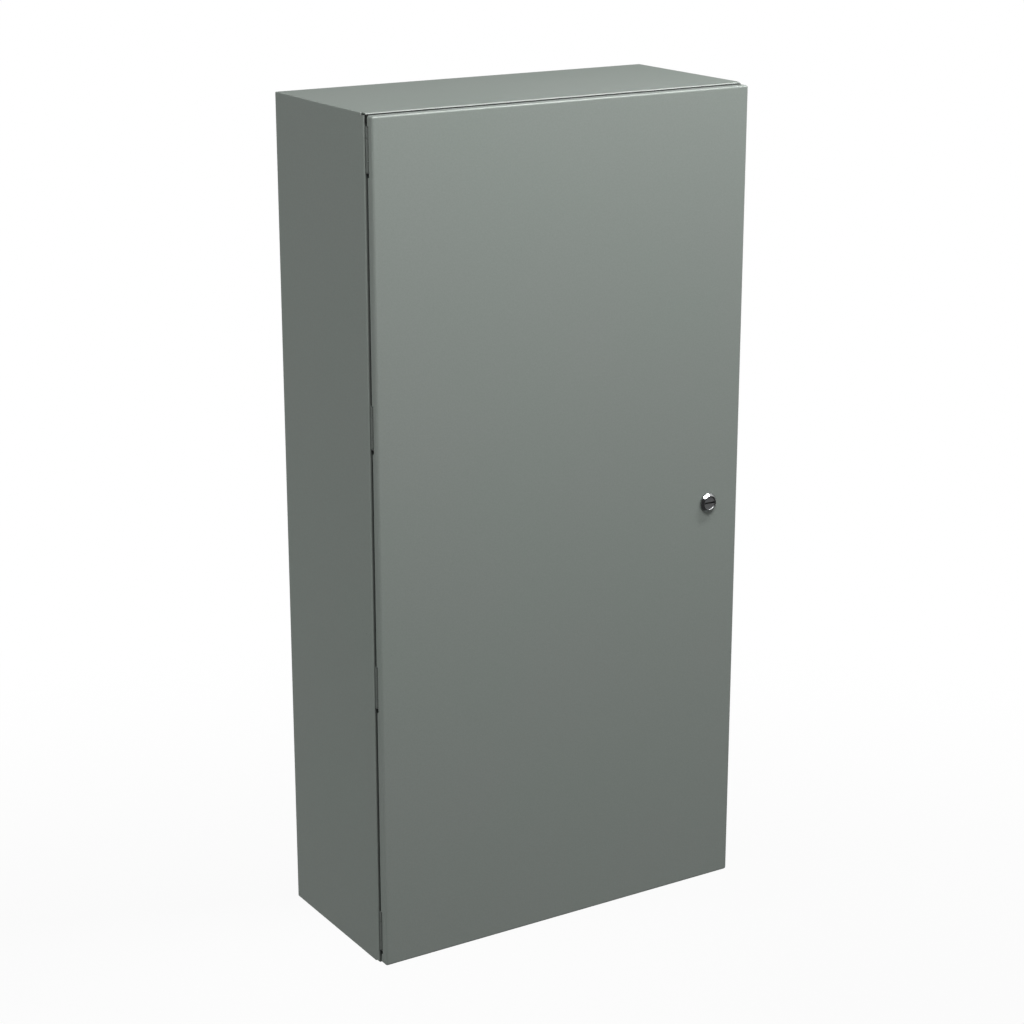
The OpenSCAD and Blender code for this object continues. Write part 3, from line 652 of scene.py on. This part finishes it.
collar_h = panel_back - SHEET
panel_thread = stud_rows(-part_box("panel_studs")[0].y - SHEET, M8_R, M8_PITCH, collar_h)
guide_low, guide_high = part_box("guide_studs")
guide_x = middles("guide_studs")[0]
guide_dx = (guide_high.x - guide_low.x) / 2 - M5_R
guide_ends = [guide_high.z - M5_R, guide_high.z - M5_R - GUIDE_STUD_SPACING]
guide_places = [(guide_x - side * guide_dx, side * z) for side in (-1, 1) for z in guide_ends]
ground_low, ground_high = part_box("body_ground_stud")
ground_l = ground_high.y - ground_low.y
stud_group("panel_stud_threads", "panel_studs", panel_studs, collar_rows(collar_h) + panel_thread[1:],
           -SHEET, FRONT, "enclosure")
stud_group("guide_stud_threads", "guide_studs", guide_places,
           stud_rows(guide_high.y - guide_low.y, M5_R, M5_PITCH), guide_low.y, BACK, "door")
stud_group("body_ground_thread", "body_ground_stud", [middles("body_ground_stud")],
           stud_rows(ground_l, M6_R, M6_PITCH), -SHEET, FRONT, "enclosure")
stud_group("door_ground_thread", "door_ground_stud", [middles("door_ground_stud")],
           stud_rows(ground_l, M6_R, M6_PITCH), -door_inner, BACK, "door")

# %% [markdown]
# ## Latch housing
# The latch sits in a die-cast housing: a bevelled head in front of the door, and a threaded barrel through it.
# Cast and plated edges are never sharp, and a chrome edge shows as a thin line of reflected light, so each
# visible corner of the profile is rounded by a small arc.

# %% Latch housing
LATCH_AROUND = 96
SHANK_R, SHANK_PITCH = 11 * MM, 1.5 * MM
SHANK_FLAT = 10.05 * MM
SPINDLE_BORE = 6.05 * MM
SEAT_R = 9.05 * MM
DISC_RECESS = 0.9 * MM
DISC_H = 3 * MM
RIM_H = 1.6 * MM
FACE_R = 11 * MM
CAST_EDGE = 0.35 * MM
CAST_STEPS = 4
SIDE_PARTS = 2.2
LEVEL_LIMIT = 0.5


def round_corners(profile, radius):
    """Replaces each inner corner of a line by an arc that touches both of its sides.

    The arc starts a tangent length, radius / tan(half the angle), before the corner, or less on a short side,
    and is drawn as the quadratic curve through the corner's two tangent points."""
    points = np.array(profile, float)
    before, corner, after = points[:-2], points[1:-1], points[2:]
    to_before, to_after = before - corner, after - corner
    long_before = np.linalg.norm(to_before, axis=1, keepdims=True)
    long_after = np.linalg.norm(to_after, axis=1, keepdims=True)
    to_before, to_after = to_before / long_before, to_after / long_after
    half = np.arccos(np.clip((to_before * to_after).sum(1, keepdims=True), -1, 1)) / 2
    reach = np.minimum(radius / np.tan(half), np.minimum(long_before, long_after) / SIDE_PARTS)
    start, stop = corner + reach * to_before, corner + reach * to_after
    t = np.linspace(0, 1, CAST_STEPS + 1)[None, :, None]
    arcs = (1 - t) ** 2 * start[:, None] + 2 * t * (1 - t) * corner[:, None] + t**2 * stop[:, None]
    return np.concatenate([points[:1], arcs.reshape(-1, 2), points[-1:]])


def latch_housing():
    """One closed line turned round the latch axis: barrel thread, head, seat of the disc, and the bore.

    Two flats on the barrel limit the thread's radius to their distance divided by the cosine of the angle. The
    cosine is kept above a limit, where the flats no longer reach."""
    low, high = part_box("latch_housing")
    head_r, length = (high.x - low.x) / 2, high.y - low.y
    head_back = high.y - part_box("latch_seal")[0].y
    seat = length - DISC_RECESS
    head = round_corners([
        (head_back, SHANK_R), (head_back, head_r), (head_back + RIM_H, head_r), (length, FACE_R),
        (length, SEAT_R + DISC_RECESS), (seat, SEAT_R), (seat - DISC_H, SEAT_R), (seat - DISC_H, SPINDLE_BORE),
    ], CAST_EDGE)
    s, r = thread_rows(head_back, 0, SHANK_R, SHANK_PITCH, LATCH_AROUND)
    level = np.abs(np.cos(np.linspace(0, 2 * np.pi, LATCH_AROUND, endpoint=False)))
    r = np.minimum(r, SHANK_FLAT / np.maximum(level, LEVEL_LIMIT))
    rows = [plain_rows(head, LATCH_AROUND), plain_rows([(0, SPINDLE_BORE)], LATCH_AROUND), (s[::-1], r[::-1])]
    shape = turned(rows, latch_x, latch_z, high.y, FRONT, LATCH_AROUND, loop_profile=True)
    make_piece("latch_barrel", [shape], "door", "latch_chrome", ["latch_housing"], closed=True)


latch_housing()

# %% [markdown]
# ## Small hardware
# The hinges, nuts, washers, cam, rods and guides keep the shape that they have in the model. Their edges are
# sharp there, and sharp edges reflect nothing, so modifiers merge the loose triangles, join the flat ones into
# whole faces and round the edges.

# %% Soft edges on the hardware
WHOLE_FACE_ANGLE = np.radians(0.4)
HARDWARE_EDGE = {
    "hinge_steel": 0.25 * MM,
    "zinc_plated_steel": 0.3 * MM,
    "latch_chrome": 0.2 * MM,
    "black_nylon": 0.6 * MM,
    "black_rubber": 0.15 * MM,
}
slot_of = {part["node"]: part["material_slot"] for part in frame["record"]["subparts"]}


def soften_node(name):
    """Welds a node's triangles, joins its flat faces and rounds its edges, all by modifiers."""
    node = nodes[name]
    weld = node.modifiers.new("weld", "WELD")
    weld.merge_threshold = MERGE
    whole = node.modifiers.new("whole_faces", "DECIMATE")
    whole.decimate_type = "DISSOLVE"
    whole.angle_limit = WHOLE_FACE_ANGLE
    soften_edges(node, HARDWARE_EDGE[slot_of[name]])


shown_nodes = sorted(name for name, node in nodes.items() if not node.hide_render)
for name in shown_nodes:
    soften_node(name)
print("Softened", len(shown_nodes), "pieces:", ", ".join(shown_nodes))

# %% [markdown]
# ## Finishes as sums
# A finish is a shader with a few noises behind its colour, roughness and bump. Adding Math nodes by hand makes
# long code, so a small class wraps a socket: an ordinary Python sum on it adds the Math node. One method makes
# every other node, from its type, its settings and its sockets.

# %% A class for shader sums
class Amount:
    """A number that changes over a surface. Sums and products with it add Math nodes to its finish."""

    def __init__(self, finish, socket):
        self.finish = finish
        self.socket = socket

    def math(self, operation, first, second):
        return self.finish.node("ShaderNodeMath", {"operation": operation}, {0: first, 1: second})

    def __add__(self, other):
        return self.math("ADD", self, other)

    def __sub__(self, other):
        return self.math("SUBTRACT", self, other)

    def __rsub__(self, other):
        return self.math("SUBTRACT", other, self)

    def __mul__(self, other):
        return self.math("MULTIPLY", self, other)

    def __abs__(self):
        return self.math("ABSOLUTE", self, 0.0)

    def least(self, other):
        return self.math("MINIMUM", self, other)

    def most(self, other):
        return self.math("MAXIMUM", self, other)

    __radd__ = __add__
    __rmul__ = __mul__


class Finish:
    """The node tree of a material or a world, with one method that adds any node."""

    def __init__(self, owner):
        owner.use_nodes = True
        self.owner = owner
        self.tree = owner.node_tree

    def node(self, kind, settings, sockets, output=0):
        """Adds a node: its settings come first, because they decide which sockets it has."""
        made = self.tree.nodes.new(kind)
        for name, value in settings.items():
            setattr(made, name, value)
        for name, value in sockets.items():
            self.put(made.inputs[name], value)
        return Amount(self, made.outputs[output])

    def put(self, socket, value):
        """Links a socket to an amount, or sets it to a plain value."""
        if isinstance(value, Amount):
            self.tree.links.new(value.socket, socket)
        else:
            socket.default_value = value

    def place(self):
        """The place on the piece, in metres."""
        return self.node("ShaderNodeTexCoord", {}, {}, "Object")

    def axes(self):
        """The place on the piece as three separate amounts."""
        place = {"Vector": self.place()}
        return [self.node("ShaderNodeSeparateXYZ", {}, place, axis) for axis in "XYZ"]

    def length(self, vector):
        """The distance of a place from the origin."""
        return self.node("ShaderNodeVectorMath", {"operation": "LENGTH"}, {0: vector}, "Value")

    def noise(self, size, detail=2.0, stretch=(1, 1, 1)):
        """Smooth noise from 0 to 1 with blots of a size in metres, drawn out along some axes."""
        scaled = self.node("ShaderNodeMapping", {}, {"Vector": self.place(), "Scale": stretch})
        return self.node("ShaderNodeTexNoise", {}, {"Vector": scaled, "Scale": 1 / size, "Detail": detail})

    def cells(self, size):
        """Distance from the nearest of many scattered points, a cell size apart."""
        return self.node("ShaderNodeTexVoronoi", {}, {"Vector": self.place(), "Scale": 1 / size})

    def between(self, first, second, share):
        """A colour that goes from the first to the second as the share goes from 0 to 1.

        A Mix node has sockets for numbers, vectors and colours: its colours are inputs 6 and 7 and output 2."""
        colours = [colour if isinstance(colour, Amount) else (*colour, 1) for colour in (first, second)]
        return self.node("ShaderNodeMix", {"data_type": "RGBA"}, {0: share, 6: colours[0], 7: colours[1]}, 2)

    def scaled(self, colour, amount):
        """A colour made lighter or darker by an amount."""
        return self.node("ShaderNodeVectorMath", {"operation": "SCALE"}, {0: colour, "Scale": amount})

    def ramp(self, value, start, stop, first=0.0):
        """Goes smoothly from a first level to 1 while a value goes from start to stop."""
        sockets = {"Value": value, "From Min": start, "From Max": stop, "To Min": first}
        return self.node("ShaderNodeMapRange", {"interpolation_type": "SMOOTHSTEP"}, sockets)

    def bump(self, height, depth):
        """A bent normal from a height of 0 to 1 that stands for a depth in metres."""
        return self.node("ShaderNodeBump", {}, {"Height": height, "Distance": depth, "Strength": 1.0})

    def end(self, shader):
        """Makes a shader the material's surface."""
        self.put(self.tree.nodes["Material Output"].inputs["Surface"], shader)

    def surface(self, **sockets):
        """Sets the sockets of the material's shader, named with underscores for spaces."""
        shader = self.tree.nodes["Principled BSDF"]
        for name, value in sockets.items():
            self.put(shader.inputs[name.replace("_", " ").title()], value)
        return self.owner


def new_finish(name):
    """A new material, ready for its nodes."""
    return Finish(bpy.data.materials.new(name))


# %% [markdown]
# ## Powder coat
# Powder paint flows into a closed skin with a faint orange peel, low waves a millimetre or two across. They
# hardly show face on, but they break up the reflections of a semi-gloss paint. A slow noise shifts the grey
# between a green and a neutral cast by a few parts in a hundred, as baked paint does over a large sheet, and a
# fine grain keeps the large flat faces from looking like plastic.
#
# Painted shade darkens the narrow seam behind the door, most of it along the top. It lies on the flange in a
# band that the place alone describes: forward of the fold, and near the outer edge.

# %% Grey powder coat and hinge paint
PAINT = np.array([0.200, 0.224, 0.207])
PAINT_CAST = np.array([1.015, 0.99, 1.005])
PAINT_ROUGH = 0.31
# The hinge paint is the sheet's paint darkened: painted shade for the narrow gap round the barrels.
HINGE_PAINTED_SHADE, HINGE_ROUGH = 0.58, 0.42
PEEL_SIZE = 1.6 * MM
PEEL_DEPTH = 0.035 * MM
GRAIN_SIZE = 2.2 * MM
GRAIN_SHADE, GRAIN_ROUGH = 0.20, 0.06
CLOUD_SIZE = 180 * MM
CLOUD_ROUGH = 0.08
# Painted shade in the seam behind the door: how dark it is at the sides and at the top, and where it lies.
SIDE_SHADE, TOP_SHADE = 0.5, 0.95
SHADE_FRONT = np.array([0.9, 0.4]) * MM
SHADE_EDGE = (5 * MM, 10 * MM)


def painted(finish, colour, roughness, shade=1.0):
    """Paint of a colour with clouds, grain and peel. A shade below 1 darkens it."""
    cloud = finish.noise(CLOUD_SIZE)
    grain = finish.noise(GRAIN_SIZE)
    peel = finish.noise(PEEL_SIZE, 1.0)
    tone = finish.between(colour / PAINT_CAST, colour * PAINT_CAST, cloud)
    return finish.surface(
        base_color=finish.scaled(tone, shade * (1 - GRAIN_SHADE / 2 + GRAIN_SHADE * grain)),
        roughness=roughness + CLOUD_ROUGH * (cloud - 0.5) + GRAIN_ROUGH * (grain - 0.5),
        normal=finish.bump(peel, PEEL_DEPTH),
    )


def seam_shade(finish):
    """Falls from 1 with painted shade on the flange's front, near the outer edge, and most along the top."""
    x, y, z = finish.axes()
    inset = (body_w - abs(x)).least(body_h - abs(z))
    front = finish.ramp(-1 * y, *(flange_v - SHADE_FRONT))
    shaded_band = front * (1 - finish.ramp(inset, *SHADE_EDGE))
    top = finish.ramp(z, body_h - FLANGE, body_h - FLANGE / 2)
    return 1 - (SIDE_SHADE + (TOP_SHADE - SIDE_SHADE) * top) * shaded_band


grey_paint = painted(new_finish("door_paint"), PAINT, PAINT_ROUGH)
body_finish = new_finish("body_paint")
# The body's paint carries the painted shade of the seam.
body_paint = painted(body_finish, PAINT, PAINT_ROUGH, seam_shade(body_finish))
# Painted shade: the hinges get a darker copy of the sheet's paint.
shaded_hinge_paint = painted(new_finish("shaded_hinge_paint"), PAINT * HINGE_PAINTED_SHADE, HINGE_ROUGH)
print("Paint finishes:", grey_paint.name, body_paint.name, shaded_hinge_paint.name)

# %% [markdown]
# ## Enamel, plating, chrome and the black parts
# The mounting panel has a smoother white enamel. Bright zinc plating is a rough mirror with fine drawing lines
# and a faint blue and straw cast. Chrome is a near mirror over a casting that is never quite flat, and painted
# shade darkens the face of the disc, the screwdriver slot and the recess round it. Foam shows its cells, rubber is
# matt, and moulded nylon has a fine even grain.

# %% White enamel
ENAMEL = np.array([0.78, 0.78, 0.75])
ENAMEL_DARK, ENAMEL_LIGHT = 0.97, 1.02
ENAMEL_ROUGH, ENAMEL_CLOUD_ROUGH = 0.28, 0.10


def enamel_finish():
    """White enamel with slow clouds and a peel twice as wide as the paint's."""
    finish = new_finish("white_enamel")
    cloud = finish.noise(CLOUD_SIZE)
    peel = finish.noise(2 * PEEL_SIZE, 1.0)
    return finish.surface(
        base_color=finish.between(ENAMEL * ENAMEL_DARK, ENAMEL * ENAMEL_LIGHT, cloud),
        roughness=ENAMEL_ROUGH + ENAMEL_CLOUD_ROUGH * cloud,
        normal=finish.bump(peel, PEEL_DEPTH),
    )


panel_enamel = enamel_finish()
print("Enamel:", panel_enamel.name)

# %% Bright zinc plating
ZINC_COOL = np.array([0.58, 0.60, 0.63])
ZINC_WARM = np.array([0.64, 0.62, 0.56])
ZINC_CAST_SIZE = 14 * MM
ZINC_LINE_SIZE, ZINC_LINE_ROUGH = 0.35 * MM, 0.08
ZINC_GRAIN_SIZE, ZINC_GRAIN_ROUGH = 0.8 * MM, 0.14
ZINC_ROUGH = 0.27
ZINC_DEPTH = 0.012 * MM
LINE_SHARE = 0.7
ROD_STRETCH, TURNED_STRETCH = (1, 1, 0.02), (1, 0.4, 1)


def zinc_finish(name, stretch):
    """Zinc on drawn steel: a stretch below 1 draws the lines out along that axis."""
    finish = new_finish(name)
    cast = finish.noise(ZINC_CAST_SIZE)
    lines = finish.noise(ZINC_LINE_SIZE, stretch=stretch)
    grains = finish.noise(ZINC_GRAIN_SIZE)
    return finish.surface(
        base_color=finish.between(ZINC_COOL, ZINC_WARM, cast),
        metallic=1.0,
        roughness=ZINC_ROUGH + ZINC_GRAIN_ROUGH * grains + ZINC_LINE_ROUGH * lines,
        normal=finish.bump(LINE_SHARE * lines + (1 - LINE_SHARE) * grains, ZINC_DEPTH),
    )


rod_zinc = zinc_finish("drawn_zinc", ROD_STRETCH)
small_zinc = zinc_finish("turned_zinc", TURNED_STRETCH)
print("Zinc:", rod_zinc.name, small_zinc.name)

# %% Chrome
CHROME = np.array([0.55, 0.56, 0.57])
# The grey of the painted shade in the recess and in the slot.
SHADE_GREY = np.array([0.05, 0.05, 0.05])
DULL_ROUGH = 0.2
CAST_WAVE_SIZE, CAST_WAVE_DEPTH = 3 * MM, 0.01 * MM
HAZE_SIZE, HAZE_SHADE, HAZE_ROUGH = 1.2 * MM, 0.94, 0.08
# The disc's chrome is a darker copy: painted shade that dims its reflection.
HEAD_ROUGH, DISC_ROUGH, DISC_PAINTED_SHADE = 0.10, 0.44, 0.75
# The recess round the disc is rougher and gets painted shade, which dims its reflection.
RECESS_ROUGH, RECESS_SHADE = 0.12, 0.7
RECESS_EDGE = SEAT_R + DISC_RECESS * np.array([0.8, 1.2])
SLOT_START, SLOT_END = (0.9 * MM, 1.7 * MM), (2.2 * MM, 3 * MM)


def chromed(finish, roughness, shade=1.0, shade_share=0.0):
    """Chrome with a faint haze. A shade below 1 darkens it, and the shade share is 1 where painted shade covers
    it.
    """
    wave = finish.noise(CAST_WAVE_SIZE, 1.0)
    haze = finish.noise(HAZE_SIZE)
    bright = finish.between(CHROME * shade * HAZE_SHADE, CHROME * shade, haze)
    return finish.surface(
        base_color=finish.between(bright, SHADE_GREY, shade_share),
        metallic=1.0,
        roughness=roughness + HAZE_ROUGH * haze + DULL_ROUGH * shade_share,
        normal=finish.bump(wave, CAST_WAVE_DEPTH),
    )


def slot_shade(finish):
    """Painted shade: 1 deep in the screwdriver slot, from the depth behind the face of the disc."""
    depth = finish.axes()[1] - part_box("latch_spindle")[0].y
    return finish.ramp(depth, *SLOT_START) * (1 - finish.ramp(depth, *SLOT_END))


def recess(finish):
    """1 in the recess round the disc, which is rougher and has painted shade, from the distance to the latch axis.
    """
    flat = {"Vector": finish.place(), "Location": (-latch_x, 0, -latch_z), "Scale": (1, 0, 1)}
    off_axis = finish.length(finish.node("ShaderNodeMapping", {}, flat))
    return 1 - finish.ramp(off_axis, *RECESS_EDGE)


head_finish = new_finish("polished_chrome")
dull = recess(head_finish)
latch_chrome = chromed(head_finish, HEAD_ROUGH + RECESS_ROUGH * dull, shade_share=RECESS_SHADE * dull)
slot_finish = new_finish("satin_chrome")
slot_chrome = chromed(slot_finish, DISC_ROUGH, DISC_PAINTED_SHADE, slot_shade(slot_finish))
print("Chrome:", latch_chrome.name, slot_chrome.name)

# %% Foam, rubber and nylon
FOAM_DARK, FOAM_LIGHT = (0.022, 0.022, 0.023), (0.045, 0.045, 0.046)
FOAM_CELL, FOAM_CELL_DEPTH = 0.7 * MM, 0.12 * MM
FOAM_CLOUD = 20 * MM
FOAM_ROUGH, FOAM_CLOUD_ROUGH = 0.80, 0.15
RUBBER = np.array([0.020, 0.020, 0.021])
NYLON = np.array([0.028, 0.028, 0.030])
MOULD_CLOUD = 15 * MM
MOULD_DARK, MOULD_LIGHT = 0.85, 1.2
MOULD_GRAIN_ROUGH = 0.12


def black_foam_finish():
    """Matt foam whose cells show as a bump and, with slow clouds, as a change of tone."""
    finish = new_finish("foam_skin")
    cell = finish.cells(FOAM_CELL)
    cloud = finish.noise(FOAM_CLOUD)
    return finish.surface(
        base_color=finish.between(FOAM_DARK, FOAM_LIGHT, 0.5 * cell + 0.5 * cloud),
        roughness=FOAM_ROUGH + FOAM_CLOUD_ROUGH * cloud,
        normal=finish.bump(cell, FOAM_CELL_DEPTH),
    )


def black_mould_finish(name, colour, roughness, grain, depth):
    """A moulded black part with slow clouds and a fine grain of a size and depth."""
    finish = new_finish(name)
    fine = finish.noise(grain)
    cloud = finish.noise(MOULD_CLOUD)
    return finish.surface(
        base_color=finish.between(colour * MOULD_DARK, colour * MOULD_LIGHT, cloud),
        roughness=roughness + MOULD_GRAIN_ROUGH * (fine - 0.5),
        normal=finish.bump(fine, depth),
    )


black_foam = black_foam_finish()
black_rubber = black_mould_finish("seal_rubber", RUBBER, roughness=0.62, grain=0.5 * MM, depth=0.01 * MM)
black_nylon = black_mould_finish("moulded_nylon", NYLON, roughness=0.48, grain=0.35 * MM, depth=0.02 * MM)
print("Black finishes:", black_foam.name, black_rubber.name, black_nylon.name)

# %% Put the finishes on the pieces
FINISHES = {
    "grey_powder_coat": grey_paint,
    "hinge_steel": shaded_hinge_paint,
    "panel_enamel": panel_enamel,
    "zinc_plated_steel": small_zinc,
    "latch_chrome": latch_chrome,
    "black_foam": black_foam,
    "black_rubber": black_rubber,
    "black_nylon": black_nylon,
}
OWN_FINISHES = {
    "body_shell": body_paint,
    "latch_spindle": slot_chrome,
    "upper_latch_rod": rod_zinc,
    "lower_latch_rod": rod_zinc,
}
for name, node in nodes.items():
    node.material_slots[0].material = OWN_FINISHES.get(name, FINISHES[slot_of[name]])
new_pieces = [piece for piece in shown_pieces() if "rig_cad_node" not in piece]
for piece in new_pieces:
    piece.data.materials.append(OWN_FINISHES.get(piece.name, FINISHES[piece["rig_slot"]]))
print("Finished", len(nodes), "nodes and", len(new_pieces), "new pieces")

# %% [markdown]
# ## Floor and world
# The enclosure hangs at its mounting height over a plain pale floor, and a white world fills the shadows. Rays
# from the camera and from shiny surfaces see the world and the floor as white. Scattered light sees them at their
# own level, so the white background adds no light to the object.

# %% Floor and world
FLOOR_Z = -1.9
FLOOR_SIZE = 60
FLOOR_COLOUR = (0.7, 0.7, 0.7, 1)
FLOOR_WHITE = 0.90
SHADOW_REACH = 5.0
FILL = 0.22


def seen_white(finish):
    """1 for rays from the camera and from shiny or clear surfaces, else 0."""
    rays = [finish.node("ShaderNodeLightPath", {}, {}, name)
            for name in ("Is Camera Ray", "Is Glossy Ray", "Is Transmission Ray")]
    return rays[0].most(rays[1]).most(rays[2])


def stage_piece(name, points, faces, finish):
    """A piece of the studio, which isn't part of the object."""
    mesh = bpy.data.meshes.new(name)
    mesh.from_pydata(points.tolist(), [], faces.tolist())
    mesh.materials.append(finish.owner)
    piece = bpy.data.objects.new(name, mesh)
    bpy.context.scene.collection.objects.link(piece)
    return piece


def pale_floor():
    """One large square under the enclosure. Near it the floor takes a shadow; far off it is the world's white."""
    line = np.array([-FLOOR_SIZE / 2, FLOOR_SIZE / 2])
    x, y = np.meshgrid(line, line)
    finish = new_finish("pale_floor")
    matt = finish.node("ShaderNodeBsdfDiffuse", {}, {"Color": FLOOR_COLOUR})
    white = finish.node("ShaderNodeEmission", {}, {"Strength": 1.0})
    share = finish.ramp(finish.length(finish.place()), -FLOOR_Z, SHADOW_REACH, FLOOR_WHITE)
    mixed = finish.node("ShaderNodeMixShader", {}, {0: share * seen_white(finish), 1: matt, 2: white})
    finish.end(mixed)
    points = np.stack([x, y, np.full_like(x, FLOOR_Z)], -1).reshape(-1, 3)
    stage_piece("floor", points, grid_faces(2, 2), finish)


def white_world():
    """A white surround: full strength where it is seen, a lower level where it lights."""
    finish = Finish(bpy.data.worlds.new("white_surround"))
    bpy.context.scene.world = finish.owner
    background = finish.tree.nodes["Background"]
    finish.put(background.inputs["Color"], (1, 1, 1, 1))
    finish.put(background.inputs["Strength"], FILL + (1 - FILL) * seen_white(finish))


pale_floor()
white_world()
bpy.context.scene.view_settings.view_transform = "Standard"
print("Floor at", FLOOR_Z, "m, world fill", FILL)

# %% [markdown]
# ## Dark cards for the chrome
# Chrome has no shade of its own: it only shows what stands round it, and all in white it would look like paper.
# A photographer puts dark cards below and beside such a part. Here one dark bowl stands round the enclosure, open
# at the top, and brighter at the right, where the plated rods on the opened door look. Only reflections see the
# bowl, so it takes no light away and throws no shadow.

# %% Dark bowl
BOWL_LEVEL = 0.04
BOWL_RIGHT = 0.8
BOWL_TURN = (2.3, 3.3)
BOWL_RISE = (-1.5, -0.9)
BOWL_LINE = np.array([(0.0, -1.85), (2.6, -1.85), (3.1, -1.6), (3.3, -1.0), (3.4, 4.2)])
BOWL_AROUND = 48


def dark_bowl():
    """A line of floor and tall wall turned round the upright axis, with a brighter part at the right."""
    angle = np.linspace(0, 2 * np.pi, BOWL_AROUND, endpoint=False)
    r, height = BOWL_LINE[:, 0, None], BOWL_LINE[:, 1, None]
    points = np.stack([r * np.cos(angle), r * np.sin(angle), height + 0 * angle], -1).reshape(-1, 3)
    finish = new_finish("dark_card")
    dark, bright = [finish.node("ShaderNodeEmission", {}, {"Strength": level})
                    for level in (BOWL_LEVEL, BOWL_RIGHT)]
    x, _, z = finish.axes()
    right = finish.ramp(x, *BOWL_TURN) * finish.ramp(z, *BOWL_RISE)
    finish.end(finish.node("ShaderNodeMixShader", {}, {0: right, 1: dark, 2: bright}))
    bowl = stage_piece("dark_bowl", points, grid_faces(len(BOWL_LINE), BOWL_AROUND, loop_columns=True), finish)
    bowl.visible_camera = bowl.visible_diffuse = bowl.visible_transmission = bowl.visible_shadow = False
    print("Dark bowl:", len(points), "points")


dark_bowl()

# %% [markdown]
# ## Lights and camera
# Large soft lights give even shades on a semi-gloss paint. A strip above the right end and a broad light high in
# front shade the door from top to bottom, and the others reach the right, the left side, the back and the top.
# Gloss paint also mirrors a light as a pale patch, so those that only brighten a face have no mirror image. The
# camera looks down from the front left through a long lens.

# %% Lights
# Each light has a place, a target, a width and height in metres, and a power in watts.
LIGHTS = {
    "key_strip": ((1.04, -0.85, 2.1), (1.04, -0.2, 0.5), (1.2, 0.22), 40),
    "upper_front_light": ((-0.4, -1.7, 2.3), (0, -0.27, 0.3), (1.6, 0.8), 70.5),
    "right_light": ((2.2, -2.2, 1.1), (0, -0.27, 0.1), (1.2, 1.2), 8),
    "left_light": ((-2.9, 0.9, 0.1), (-0.3, -0.1, 0), (1.2, 2.0), 34.5),
    "back_light": ((0.9, 2.6, -0.5), (0, 0, 0), (1.6, 1.6), 40),
    "overhead_light": ((-0.5, 0.5, 2.4), (-0.25, -0.1, 0.6), (0.8, 0.8), 5),
}
UNMIRRORED = ("left_light", "back_light", "overhead_light")


def soft_light(name, place, target, size, power):
    """A rectangular area light at a place, turned to a target. Some have no mirror image on the gloss paint."""
    lamp = bpy.data.lights.new(name, "AREA")
    lamp.shape = "RECTANGLE"
    lamp.size, lamp.size_y = size
    lamp.energy = power
    light = bpy.data.objects.new(name, lamp)
    bpy.context.scene.collection.objects.link(light)
    light.location = place
    towards = Vector(target) - light.location
    light.rotation_euler = towards.to_track_quat("-Z", "Y").to_euler()
    light.visible_camera = False
    light.visible_glossy = name not in UNMIRRORED


for name, (place, target, size, power) in LIGHTS.items():
    soft_light(name, place, target, size, power)
print("Lights:", ", ".join(LIGHTS))

# %% Camera
CAMERA_PLACE = (-1.7884, -3.0018, 1.0383)
CAMERA_TURN = -31.908
CAMERA_DROP = 17.255
LENS = 84.44
SENSOR = 36

lens = bpy.data.cameras.new("camera")
lens.lens = LENS
lens.sensor_width = SENSOR
camera = bpy.data.objects.new("camera", lens)
bpy.context.scene.collection.objects.link(camera)
camera.location = CAMERA_PLACE
camera.rotation_euler = np.radians([90 - CAMERA_DROP, 0, CAMERA_TURN])
bpy.context.scene.camera = camera
print("Camera at", CAMERA_PLACE)

# %% [markdown]
# ## Update the scene
# The view layer is brought up to date once more.

# %% Bring the scene up to date
bpy.context.view_layer.update()
